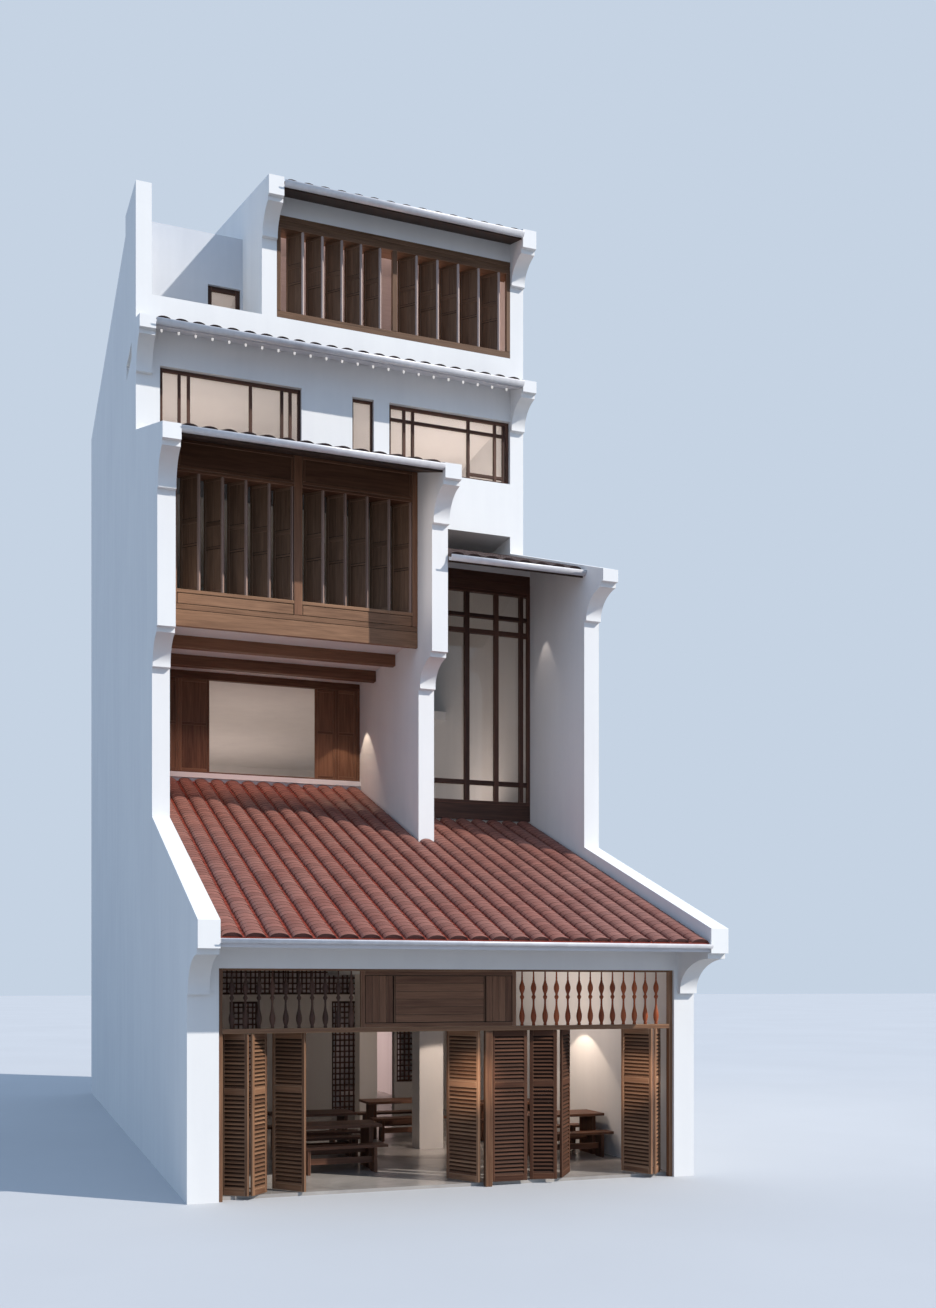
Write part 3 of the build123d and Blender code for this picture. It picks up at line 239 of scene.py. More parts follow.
def render_finish(name, base, shade):
    """Smooth painted render with faint trowel marks and a cloudy tone."""
    f = Finish(name, Specular_IOR_Level=0.35)
    place = f.position()
    cloud = f.noise(place, 0.45, 5, 0.6, 0.3)
    streak = f.noise(f.stretched(place, (2.2, 2.2, 0.25)), 1.0, 4, 0.6)
    tone = f.math("MULTIPLY", f.math("ADD", cloud, streak), 0.5)
    colour = f.ramp(tone, (0.30, shade), (0.62, base))
    fine = f.noise(place, 55, 3, 0.6)
    trowel = f.noise(f.stretched(place, (3, 3, 5)), 1.6, 4, 0.5, 0.8)
    height = f.math("ADD", f.math("MULTIPLY", fine, 0.25), trowel)
    return f.finish(colour, f.spread(tone, 0.76, 0.90), height, 0.003, 0.35)


def timber_finish(name, dark, light, edge, gloss=0.42, variety=0.20):
    """Stained boards: grain fibres, a tone per board, edges paler from wear and a painted highlight, and
    painted shade.
    """
    f = Finish(name, Specular_IOR_Level=0.2)
    grain = f.attribute("grain", "Vector")
    fibre = f.noise(f.stretched(grain, (1.6, 48, 48)), 1.0, 6, 0.62, 0.4)
    figure = f.noise(f.stretched(grain, (0.7, 7, 7)), 1.0, 4, 0.55, 1.2)
    tone = f.attribute("tone")
    mixed = f.math("ADD", f.math("MULTIPLY", fibre, 0.45), f.math("MULTIPLY", figure, 0.35))
    mixed = f.math("ADD", mixed, f.math("MULTIPLY", tone, variety))
    middle = 0.40 + variety / 2
    colour = f.ramp(mixed, (middle - 0.16, dark), (middle + 0.16, light))
    # Edges: paler from wear and, in part, from a painted highlight.
    wear_and_highlight = f.math("MULTIPLY", f.attribute("edge"), f.spread(figure, 0.25, 0.9))
    colour = f.mix(wear_and_highlight, colour, edge)
    # Painted shade: marked faces turn nearly black, on backing boards in seams, slat backs, beads and box
    # heads.
    colour = f.mix(f.attribute("painted_shade"), colour, tuple(0.35 * c for c in dark))
    return f.finish(colour, f.spread(fibre, gloss, gloss + 0.22), fibre, 0.0015, 0.45)


def tile_finish(name, dark, light, dust):
    """Clay tiles: a tone for each tile, weathered speckle, a dusty bloom and painted shade on the open front
    ends.
    """
    f = Finish(name, Specular_IOR_Level=0.35)
    place = f.position()
    tone = f.attribute("tone")
    speckle = f.noise(place, 38, 5, 0.7)
    cloud = f.noise(place, 1.1, 4, 0.6, 0.5)
    ribs = f.noise(f.stretched(f.attribute("grain", "Vector"), (7, 75, 7)), 1.0, 3, 0.6)
    mixed = f.math("ADD", f.math("MULTIPLY", tone, 0.26), f.math("MULTIPLY", speckle, 0.34))
    mixed = f.math("ADD", mixed, f.math("MULTIPLY", ribs, 0.40))
    colour = f.ramp(mixed, (0.28, dark), (0.72, light))
    bloom = f.math("MULTIPLY", f.spread(cloud, -0.25, 0.75), f.spread(speckle, 0.2, 1.0))
    colour = f.mix(f.math("MAXIMUM", f.math("MINIMUM", bloom, 0.5), 0.0), colour, dust)
    # Painted shade: the front end faces of the tiles turn nearly black.
    colour = f.mix(f.math("MULTIPLY", f.attribute("edge"), 0.9), colour, (0.035, 0.014, 0.012))
    return f.finish(colour, f.spread(speckle, 0.5, 0.74), f.math("ADD", speckle, ribs), 0.003, 0.6)


def metal_finish():
    """Painted metal gutters with faint runs."""
    f = Finish("gutter_paint", Metallic=0.15, Specular_IOR_Level=0.5)
    place = f.position()
    runs = f.noise(f.stretched(place, (6, 6, 1.2)), 1.0, 4, 0.6)
    fine = f.noise(place, 80, 2, 0.5)
    colour = f.ramp(runs, (0.3, (0.62, 0.62, 0.65)), (0.7, (0.74, 0.74, 0.77)))
    return f.finish(colour, f.spread(runs, 0.34, 0.5), fine, 0.0006, 0.3)


def peg_glow_finish():
    """Painted light: a milky glow on the pegs under the eave, which are no lamps."""
    f = Finish("painted_light_peg_glow", Roughness=0.4, Emission_Color=(1.0, 0.97, 0.93, 1), Emission_Strength=0.5)
    cloud = f.noise(f.position(), 30, 2, 0.5)
    colour = f.ramp(cloud, (0.3, (0.76, 0.75, 0.73)), (0.7, (0.84, 0.83, 0.81)))
    return f.finish(colour, None, cloud, 0.0005, 0.2)


def concrete_finish():
    """Polished hall floor with cloudy patches and fine pores."""
    f = Finish("polished_concrete", Specular_IOR_Level=0.6)
    place = f.position()
    cloud = f.noise(place, 0.8, 6, 0.62, 0.6)
    pores = f.noise(place, 60, 3, 0.6)
    colour = f.ramp(cloud, (0.3, (0.30, 0.275, 0.255)), (0.7, (0.46, 0.43, 0.40)))
    return f.finish(colour, f.spread(cloud, 0.14, 0.32), pores, 0.001, 0.2)


def deck_finish():
    """Roof boards: painted under the lean-to, at the fourth floor eave and in the top room, else stained."""
    f = Finish("roof_deck_boards", Specular_IOR_Level=0.3)
    place = f.position()
    split = f.node("SeparateXYZ", {"Vector": place})
    height = split.outputs["Z"]
    low = f.math("LESS_THAN", height, LEAN_TO_BELOW)
    eave = f.math("MULTIPLY", f.math("GREATER_THAN", height, FOURTH_EAVE_Z[0]),
                  f.math("LESS_THAN", height, FOURTH_EAVE_Z[1]))
    inside = f.math("MULTIPLY", f.math("GREATER_THAN", height, FOURTH_EAVE_Z[1]),
                    f.math("GREATER_THAN", split.outputs["Y"], TOP_ROOM_Y))
    painted = f.math("ADD", f.math("ADD", low, eave), inside)
    fibre = f.noise(f.stretched(place, (3, 30, 30)), 1.0, 6, 0.62, 0.4)
    stained = f.ramp(fibre, (0.34, (0.022, 0.013, 0.010)), (0.66, (0.075, 0.045, 0.032)))
    paint = f.ramp(fibre, (0.34, (0.66, 0.65, 0.68)), (0.66, (0.74, 0.73, 0.76)))
    return f.finish(f.mix(painted, stained, paint), f.spread(fibre, 0.55, 0.75), fibre, 0.0015, 0.4)


def glass_finish(name, tint):
    """Clear glass with a faint waviness."""
    f = Finish(name, Transmission_Weight=1.0, IOR=1.45, Roughness=0.02)
    wave = f.noise(f.position(), 1.3, 2, 0.5)
    colour = f.ramp(wave, (0.2, tint), (0.8, tuple(min(1, c * 1.04) for c in tint)))
    return f.finish(colour, None, wave, 0.004, 0.15)


# Painted shade: a darker, bluer copy of the white render for the terrace back wall.
SHADED_TERRACE = render_finish("terrace_painted_shade_render", (0.60, 0.615, 0.65), (0.53, 0.55, 0.59))
WHITE = render_finish("white_render", (0.80, 0.80, 0.795), (0.735, 0.735, 0.74))
INNER = render_finish("inner_render", (0.74, 0.68, 0.62), (0.68, 0.615, 0.555))
SHADED = render_finish("recess_render", (0.085, 0.060, 0.053), (0.050, 0.038, 0.034))
CONCRETE = concrete_finish()
TIMBER = timber_finish("dark_timber", (0.075, 0.030, 0.016), (0.225, 0.110, 0.062), (0.34, 0.215, 0.14))
FASCIA_TIMBER = timber_finish("fascia_timber", (0.125, 0.062, 0.034), (0.32, 0.175, 0.10), (0.42, 0.27, 0.17))
BLADE_TIMBER = timber_finish(
    "blade_timber", (0.070, 0.036, 0.020), (0.20, 0.112, 0.066), (0.29, 0.18, 0.12), variety=0.06)
# Painted highlight: pale noses on the blades' front edges, paler still on the top screen.
NOSE_HIGHLIGHT_TIMBER = timber_finish(
    "blade_edge_timber", (0.17, 0.105, 0.080), (0.33, 0.225, 0.185), (0.44, 0.33, 0.29))
TOP_NOSE_HIGHLIGHT_TIMBER = timber_finish(
    "top_edge_timber", (0.30, 0.225, 0.20), (0.52, 0.42, 0.385), (0.60, 0.51, 0.48))
LEAF_TIMBER = timber_finish("leaf_timber", (0.090, 0.040, 0.022), (0.26, 0.135, 0.074), (0.39, 0.25, 0.15))
# Painted light: a paler copy of the leaf timber for the leaves that lamps light.
LIT_LEAF_TIMBER = timber_finish(
    "painted_light_leaf_timber", (0.145, 0.066, 0.038), (0.40, 0.215, 0.122), (0.52, 0.34, 0.21))
# Painted shade: a darker copy of the leaf timber for the middle leaves of the centre set.
SHADED_LEAF_TIMBER = timber_finish(
    "painted_shade_leaf_timber", (0.036, 0.013, 0.007), (0.110, 0.045, 0.024), (0.20, 0.11, 0.065), 0.6)
WINDOW_TIMBER = timber_finish(
    "window_timber", (0.030, 0.014, 0.010), (0.105, 0.050, 0.034), (0.22, 0.085, 0.055))
# Red stain made brighter and more orange as painted light glowing from behind.
GLOWING_BALUSTER_TIMBER = timber_finish("baluster_painted_glow", (0.13, 0.024, 0.010), (0.42, 0.105, 0.038), (0.42, 0.17, 0.07))
TABLE_TIMBER = timber_finish(
    "furniture_timber", (0.050, 0.020, 0.012), (0.17, 0.078, 0.046), (0.30, 0.17, 0.12), 0.38)
DECK = deck_finish()
# Painted shade: the upper roofs' tiles, pans and ridge are made dark for the shade over their tile ends.
SHADE_DARKENED_TILE = tile_finish("painted_shade_tile", (0.036, 0.021, 0.020), (0.085, 0.050, 0.046), (0.13, 0.092, 0.086))
TILE = tile_finish("roof_tile", (0.150, 0.050, 0.038), (0.30, 0.115, 0.088), (0.34, 0.195, 0.16))
# Clay red of the pans, made deeper and darker as painted shade between the barrels.
SHADED_VALLEY_TILE = tile_finish("valley_painted_shade_tile", (0.16, 0.020, 0.010), (0.30, 0.045, 0.024), (0.26, 0.07, 0.045))
METAL = metal_finish()
PEG_GLOW = peg_glow_finish()
GLASS = glass_finish("window_glass", (0.86, 0.88, 0.88))


RING = ((0, 0), (1, 0), (1, 1), (0, 1))


def corner_of(axis, side, i, j):
    """Corner of a box at one side of an axis and at i and j of the other two."""
    corner = [i, j]
    corner.insert(axis, side)
    return tuple(corner)


class Joinery:
    """Boards and other pieces in one mesh, each with its own grain and tone."""

    def __init__(self, seed):
        self.random = random.Random(seed)
        self.points, self.faces, self.grain = [], [], []
        self.tone, self.edge, self.painted_shade = [], [], []

    def face(self, ring, tone=0.5, edge=0.0, painted_shade=0.0):
        """One face with its tone, its edge mark of wear and painted light, and its painted shade."""
        self.faces.append(ring)
        self.tone.append(tone)
        self.edge.append(edge)
        self.painted_shade.append(painted_shade)

    def board(self, x, y, z, along, chamfer=0.003, turn=None, painted_shade=0.0):
        """Chamfered box between three pairs of planes; along is the axis of its grain."""
        spans = [tuple(sorted(span)) for span in (x, y, z)]
        chamfer = min([chamfer] + [0.45 * (b - a) for a, b in spans])
        shift = [self.random.uniform(0, 40) for _ in range(3)]
        tone = self.random.random()
        axes = [along] + [a for a in range(3) if a != along]
        keys = {}
        corners = list(itertools.product((0, 1), repeat=3))
        for corner in corners:
            for axis in range(3):
                point = [spans[a][corner[a]] for a in range(3)]
                for a in range(3):
                    if a != axis:
                        point[a] += chamfer if corner[a] == 0 else -chamfer
                keys[corner, axis] = len(self.points)
                self.grain.append([point[axes[n]] + shift[n] for n in range(3)])
                self.points.append(turn @ Vector(point) if turn else Vector(point))
        for axis in range(3):
            b, c = [a for a in range(3) if a != axis]
            for side in (0, 1):
                self.face([keys[corner_of(axis, side, i, j), axis] for i, j in RING], tone, 0.0, painted_shade)
            for i, j in RING:
                low, high = (corner_of(axis, side, i, j) for side in (0, 1))
                self.face([keys[low, b], keys[high, b], keys[high, c], keys[low, c]], tone, 1.0, painted_shade)
        for corner in corners:
            self.face([keys[corner, axis] for axis in range(3)], tone, 1.0, painted_shade)

    def turned(self, centre, profile, sides=20):
        """Round piece turned about an upright axis, from (height, radius) pairs."""
        first = len(self.points)
        shift = [self.random.uniform(0, 40) for _ in range(3)]
        tone = self.random.random()
        for z, radius in profile:
            for i in range(sides):
                turn = 2 * math.pi * i / sides
                point = Vector((centre[0] + radius * math.cos(turn), centre[1] + radius * math.sin(turn), z))
                self.points.append(point)
                self.grain.append([point.z + shift[0], point.x + shift[1], point.y + shift[2]])
        rows = len(profile)
        for row in range(rows - 1):
            for i in range(sides):
                a = first + row * sides + i
                b = first + row * sides + (i + 1) % sides
                self.face([a, b, b + sides, a + sides], tone)
        self.face([first + i for i in reversed(range(sides))], tone)
        self.face([first + (rows - 1) * sides + i for i in range(sides)], tone)

    def make(self, name, material, *nodes, slot="dark_timber", smooth=False):
        """One mesh object in the CAD frame that stands for some nodes."""
        mesh = bpy.data.meshes.new(name)
        mesh.from_pydata([point + ORIGIN for point in self.points], [], self.faces)
        grain = mesh.attributes.new("grain", "FLOAT_VECTOR", "POINT")
        grain.data.foreach_set("vector", [value for point in self.grain for value in point])
        for key, values in (("tone", self.tone), ("edge", self.edge), ("painted_shade", self.painted_shade)):
            mesh.attributes.new(key, "FLOAT", "FACE").data.foreach_set("value", values)
        outward(mesh)
        mesh.polygons.foreach_set("use_smooth", [smooth] * len(mesh.polygons))
        mesh.materials.append(material)
        piece = added(name, mesh)
        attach(piece, "root")
        if nodes:
            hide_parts(*nodes)


def outward(mesh):
    """Turn all faces outward."""
    shape = bmesh.new()
    shape.from_mesh(mesh)
    bmesh.ops.recalc_face_normals(shape, faces=shape.faces)
    shape.to_mesh(mesh)
    shape.free()


def grid(wood, x, z, y, width, posts=(), rails=(), chamfer=0.004):
    """Frame of boards: border of one width, posts (x, width) and rails (z, height, x from, x to)."""
    x0, x1 = x
    z0, z1 = z
    for left in (x0, x1 - width):
        wood.board((left, left + width), y, z, 2, chamfer)
    for low in (z0, z1 - width):
        wood.board((x0 + width, x1 - width), y, (low, low + width), 0, chamfer)
    for left, post_width in posts:
        wood.board((left, left + post_width), y, (z0 + width, z1 - width), 2, chamfer)
    inset = 0.006
    deep = (y[0] + inset, y[1] - inset)
    for low, height, a, b in rails:
        wood.board((max(a, x0 + width), min(b, x1 - width)), deep, (low, low + height), 0, chamfer)


def shop_frame():
    """Posts, head, transom rail and centre post of the shopfront."""
    wood = Joinery(1)
    y = (TIMBER_Y, TIMBER_Y + TIMBER_T)
    for post in ((OPEN_LEFT, SHOP_X[0]), (SHOP_X[1], OPEN_RIGHT)):
        wood.board(post, y, (0, OPEN_HEAD), 2)
    wood.board(SHOP_X, y, (OPEN_HEAD - HEAD_STRIP, OPEN_HEAD), 0)
    wood.board(SHOP_X, y, (RAIL_LOW, RAIL_HIGH), 0, 0.006)
    wood.board(CENTRE_POST, y, (0, RAIL_LOW), 2, 0.006)
    wood.make("shopfront_frame", LEAF_TIMBER, "ground_door_frame")


# Height and radius along a baluster, as shares of its height and widest radius
TURNINGS = (
    (0, 0.60), (0.03, 0.60), (0.045, 0.50), (0.06, 0.62), (0.09, 0.80), (0.13, 0.96), (0.17, 1.0),
    (0.21, 0.94), (0.26, 0.74), (0.31, 0.52), (0.36, 0.40), (0.42, 0.35), (0.485, 0.38), (0.50, 0.56),
    (0.52, 0.74), (0.535, 0.76), (0.555, 0.58), (0.57, 0.42), (0.60, 0.50), (0.64, 0.80), (0.68, 0.98),
    (0.72, 0.98), (0.76, 0.78), (0.80, 0.50), (0.845, 0.32), (0.87, 0.28), (0.885, 0.36), (0.90, 0.28),
    (1.0, 0.26))


def balusters():
    """Turned balusters over both doorways: their number, the spaces they share out and the first space."""
    low, high = RAIL_HIGH, OPEN_HEAD - HEAD_STRIP
    profile = [(low + share * (high - low), BALUSTER_R * radius) for share, radius in TURNINGS]
    # One wood in both sets: the left set takes the dark window timber as painted shade, the right set the
    # glowing red as painted light.
    doorways = (("left", SHOP_X[0], PANEL[0], 10, 10.4, 0.7, WINDOW_TIMBER),
                ("right", PANEL[1], SHOP_X[1], 13, 13.7, 0.6, GLOWING_BALUSTER_TIMBER))
    for name, x0, x1, count, spaces, first, material in doorways:
        wood = Joinery(2)
        for i in range(count):
            x = x0 + (i + first) * (x1 - x0) / spaces
            wood.turned((x, TIMBER_Y + TIMBER_T / 2), profile)
        wood.make(name + "_balusters", material, "transom_balusters", smooth=True)


def transom_panel():
    """Nearly flush boards in a frame, with a panel of upright boards marked off at each end."""
    wood = Joinery(3)
    border, panel_w, strip, backing = 0.06, 0.44, 0.03, 0.05
    boards, upright_boards = 6, 4
    low, high = RAIL_HIGH, OPEN_HEAD - HEAD_STRIP
    x0, x1 = PANEL
    front, back = TIMBER_Y, TIMBER_Y + 0.08
    grid(wood, PANEL, (low, high), (front, back), border)
    z = (low + border + SEAM, high - border - SEAM)
    y = (front + 0.008, back)
    mark = border + panel_w
    step = (z[1] - z[0]) / boards
    for i in range(boards):
        wood.board((x0 + mark + strip, x1 - mark - strip), y,
                   (z[0] + i * step + SEAM / 4, z[0] + (i + 1) * step - SEAM / 4), 0)
    step = (panel_w - 2 * SEAM) / upright_boards
    for left in (x0 + border + SEAM, x1 - mark + SEAM):
        for i in range(upright_boards):
            wood.board((left + i * step + SEAM / 4, left + (i + 1) * step - SEAM / 4), y, z, 2)
    for left in (x0 + mark, x1 - mark - strip):
        wood.board((left + SEAM, left + strip - SEAM), (front + 0.002, back), z, 2, 0.004)
    # Backing board behind the seams, dark with painted shade.
    wood.board((x0 + backing, x1 - backing), (front + backing, back - 0.01), (low + backing, high - backing),
               0, 0.0, painted_shade=1.0)
    wood.make("boarded_transom", TIMBER, "transom_panel")


def louvred_leaf(wood, a, b):
    """Framed leaf of tilted slats between two points of the plan."""
    start, end = Vector((*a, 0)), Vector((*b, 0))
    width = (end - start).length
    turn = Matrix.Translation(start) @ Matrix.Rotation(math.atan2(b[1] - a[1], b[0] - a[0]), 4, "Z")
    low = FLOOR_1 + 0.012
    high = RAIL_LOW - 0.001
    stile, rail = 0.055, 0.09
    y = (-0.02, 0.02)
    for left in (0, width - stile):
        wood.board((left, left + stile), y, (low, high), 2, 0.004, turn)
    middle = low + 0.62 * (high - low)
    for z in (low, middle, high - rail):
        wood.board((stile, width - stile), y, (z, z + rail), 0, 0.004, turn)
    across = (stile - 0.004, width - stile + 0.004)
    for z0, z1 in ((low + rail, middle), (middle + rail, high - rail)):
        count = round((z1 - z0) / SLAT_PITCH)
        pitch = (z1 - z0) / count
        for i in range(count):
            hinge = Matrix.Translation((0, 0, z0 + (i + 0.5) * pitch)) @ Matrix.Rotation(SLAT_TILT, 4, "X")
            wood.board(across, (-0.033, -0.003), (-0.005, 0.004), 0, 0.0025, turn @ hinge)
            # Back half of each slat, darkened with painted shade so the gaps between slats read dark.
            wood.board(across, (-0.003, 0.033), (-0.004, 0.004), 0, 0.001, turn @ hinge, 0.85)


def folding_leaves():
    """The folded sets of leaves, each leaf between two points: a share of the doorway's width and y."""
    left = CENTRE_POST[0] - OPEN_LEFT
    right = OPEN_RIGHT - CENTRE_POST[0]
    # The sets share one timber; the paler and darker copies are painted light and painted shade.
    sets = (
        ("left", "left", LEAF_TIMBER, OPEN_LEFT, left,
         (((0.022, 0.33), (0.105, 0.04)), ((0.116, 0.04), (0.182, 0.35)), ((0.221, 0.63), (0.315, 0.15)))),
        ("centre", "centre", SHADED_LEAF_TIMBER, CENTRE_POST[0], right,
         (((0.036, 0.13), (0.221, 0.13)), ((0.246, 0.21), (0.371, 0.07)), ((0.402, 0.14), (0.523, 0.70)))),
        ("centre_first", "centre", LIT_LEAF_TIMBER, CENTRE_POST[0], right,
         (((-0.1185, 0.75), (-0.0214, 0.13)),)),
        ("right", "right", LIT_LEAF_TIMBER, OPEN_RIGHT, right,
         (((-0.196, 0.60), (-0.125, -0.01)), ((-0.111, -0.01), (-0.022, 0.36)))),
    )
    for seed, (name, side, material, datum, doorway, leaves) in enumerate(sets):
        wood = Joinery(10 + seed)
        for a, b in leaves:
            louvred_leaf(wood, (datum + a[0] * doorway, a[1]), (datum + b[0] * doorway, b[1]))
        wood.make(name + "_louvred_leaves", material, side + "_folding_leaves")


def blade(wood, noses, x, y, z, width):
    """Pivoting blade: stiles, rails and thin boards between them, turned about its middle."""
    turn = Matrix.Translation((x, y, 0)) @ Matrix.Rotation(-BLADE_TURN, 4, "Z")
    z0, z1 = z
    height = z1 - z0
    half, deep = width / 2, BLADE_T / 2
    stile, nose, bead = 0.048, 0.042, 0.012
    rail_y, bead_y, board_y = ((-deep + sunk, deep - sunk) for sunk in (0.003, 0.010, 0.012))
    wood.board((-half, -half + stile), (-deep, deep), z, 2, 0.003, turn)
    wood.board((half - stile, half - nose), (-deep, deep), z, 2, 0.003, turn)
    # Pale nose along the front edge, a painted highlight.
    noses.board((half - nose, half), (-deep, deep), z, 2, 0.005, turn)
    inner = (-half + stile, half - stile)
    rails = ((0, 0.07), (0.395 * height, 0.03), (0.585 * height, 0.085), (height - 0.05, 0.05))
    for low, tall in rails:
        wood.board(inner, rail_y, (z0 + low, z0 + low + tall), 0, 0.003, turn)
    for low in (rails[1][0] - bead, sum(rails[1]), sum(rails[2])):
        # Beads beside the rails, dark with painted shade.
        wood.board(inner, bead_y, (z0 + low, z0 + low + bead), 0, 0.0, turn, 1.0)
    board_w = (inner[1] - inner[0]) / 2
    for (low, tall), (top, _) in zip(rails[:-1], rails[1:]):
        for a in (inner[0], inner[0] + board_w):
            wood.board((a + 0.0008, a + board_w - 0.0008), board_y, (z0 + low + tall, z0 + top), 2, 0.0015,
                       turn)


def blades(name, node, spans, front, seed, nose_highlight_timber):
    """Blades whose front edges share out each span."""
    wood = Joinery(seed)
    noses = Joinery(seed + 100)
    z = plot_box(node)[2]
    for x0, x1 in spans:
        pitch = (x1 - x0) / BLADES
        width = pitch - BLADE_GAP
        reach = (width * math.sin(BLADE_TURN) + BLADE_T * math.cos(BLADE_TURN)) / 2
        side = (width * math.cos(BLADE_TURN) + BLADE_T * math.sin(BLADE_TURN)) / 2
        for i in range(BLADES):
            blade(wood, noses, x0 + (i + 1) * pitch - side, front + reach, z, width)
    wood.make(name, BLADE_TIMBER, node)
    noses.make(name + "_edges", nose_highlight_timber, node)


def framed_head(wood, x, z, front, back):
    """Framed board over a row of blades: a flat field with a bead along its four sides, both darkened with
    painted shade.
    """
    border, bead = 0.055, 0.018
    wood.board(x, (front + 0.016, back), z, 0, 0.002, painted_shade=0.45)
    for low in (z[0], z[1] - border):
        wood.board(x, (front, front + bead), (low, low + border), 0, 0.006, painted_shade=0.3)
    for left in (x[0], x[1] - border):
        wood.board((left, left + border), (front + 0.001, front + bead), (z[0] + border, z[1] - border), 2,
                   0.006, painted_shade=0.3)


def box_frame():
    """Timber box: fascia boards, panel band, stiles, post, head and its panels."""
    wood = Joinery(20)
    low_boards = Joinery(19)
    x, (y0, y2), (z0, z1) = plot_box("box_screen_frame")
    y1 = y0 + 0.09
    fascia_top, panel_low, panel_top, sill, head = 9.70, 9.712, 9.888, 9.96, 12.0
    backing = (y0 + 0.03, y1 - 0.01)
    low_boards.board(x, (y0, y1), (z0, 9.60), 0, 0.004)
    low_boards.board(x, (y0 + 0.006, y1), (9.612, fascia_top), 0, 0.004)
    # Backing boards behind the fascia seams, dark with painted shade.
    low_boards.board((x[0] + 0.01, x[1] - 0.01), backing, (z0 + 0.01, 9.71), 0, 0.0, painted_shade=1.0)
    for post in BOX_POSTS:
        wood.board(post, (y0, y1), (9.706, z1), 2, 0.006)
    for a, b in BOX_SPANS:
        low_boards.board((a + 0.012, b - 0.012), (y0 + 0.010, y1), (panel_low, panel_top), 0, 0.006)
        low_boards.board((a, b), (y0, y2), (9.90, sill), 0, 0.006)
        # Backing board behind the panel band, dark with painted shade.
        low_boards.board((a, b), backing, (fascia_top, 9.91), 0, 0.0, painted_shade=1.0)
        wood.board((a, b), (y0, y2), (head, head + 0.05), 0, 0.004)
        framed_head(wood, (a + 0.004, b - 0.004), (head + 0.056, z1), y0, y1)
    wood.make("timber_box", TIMBER, "box_screen_frame")
    low_boards.make("timber_box_fascia", FASCIA_TIMBER, "box_screen_frame")


def top_frame():
    """Sill, head, stiles and post of the top screen."""
    wood = Joinery(21)
    (x0, x1), (y0, y2), (z0, z1) = plot_box("top_screen_frame")
    y1 = y0 + 0.10
    sill, head, stile = z0 + 0.14, z1 - 0.25, 0.08
    boards = ((0, y1, z0, z0 + 0.08), (0.008, y2, z0 + 0.08, sill), (0, y2, head, head + 0.06),
              (0.01, y1, head + 0.06, z1 - 0.09), (0, y1, z1 - 0.09, z1))
    for set_back, deep, low, high in boards:
        wood.board((x0, x1), (y0 + set_back, deep), (low, high), 0)
    for a, b in ((x0, x0 + stile), (TOP_POST_X, TOP_POST_X + 0.10), (x1 - stile, x1)):
        wood.board((a, b), (y0, y1), (sill, head), 2, 0.004)
    wood.make("top_screen", BLADE_TIMBER, "top_screen_frame")


def soffit_beams():
    """Beams under the floor of the box."""
    wood = Joinery(22)
    beam_w = 0.16
    for y in (5.87, 7.25):
        wood.board((WALL, MID_X), (y, y + beam_w), plot_box("soffit_beams")[2], 0, 0.008)
    wood.make("porch_beams", TIMBER, "soffit_beams")


def porch_window():
    """Frame and slid-back shutters of the window over the lean-to roof."""
    wood = Joinery(23)
    (x0, x1), y, (z0, z1) = plot_box("second_floor_window_frame")
    head, foot = 0.16, 0.04
    for z in ((z1 - head, z1), (z0, z0 + foot)):
        wood.board((x0, x1), y, z, 0, 0.005)
    for a in (x0, x1 - SASH):
        wood.board((a, a + SASH), y, (z0 + foot, z1 - head), 2, 0.005)
    wood.make("porch_window_frame", TIMBER, "second_floor_window_frame")
    wood = Joinery(24)
    _, y, z = plot_box("second_floor_shutters")
    rail = (z[0] + z[1]) / 2
    left_w, right_w, gap = 1.31, 0.98, 0.001
    for a, b in ((x0 + SASH, x0 + left_w), (x1 - right_w, x1 - SASH)):
        middle = (a + b) / 2
        for c, d in ((a + gap, middle - gap), (middle + gap, b - gap)):
            grid(wood, (c, d), z, y, SASH, (), ((rail, SASH, c, d),))
            for low, high in ((z[0] + SASH, rail), (rail + SASH, z[1] - SASH)):
                wood.board((c + SASH, d - SASH), (y[0] + 0.014, y[1] - 0.012), (low, high), 2, 0.002)
    wood.make("porch_shutters", TIMBER, "second_floor_shutters")


def tall_window():
    """Glazing frame over both storeys of the right bay, with its panel below and boards above."""
    wood = Joinery(25)
    x, y, (z0, z1) = plot_box("tall_window_frame")
    sill, head, board = z0 + 0.32, z1 - 0.37, 0.18
    posts = [(x[1] - offset, width) for offset, width in ((1.42, 0.10), (0.78, 0.09), (0.23, 0.08))]
    rails = [(head - drop, tall, *x) for drop, tall in ((0.57, 0.08), (0.89, 0.09))]
    rails.append((sill + 0.38, 0.09, *x))
    grid(wood, x, (sill, head), y, SASH, posts, rails)
    wood.board(x, y, (z0, sill), 0, 0.004)
    wood.board(x, y, (head, head + board), 0, 0.004)
    wood.board(x, (y[0] + 0.01, y[1]), (head + board, z1), 0, 0.004)
    wood.make("tall_glazing_frame", WINDOW_TIMBER, "tall_window_frame")


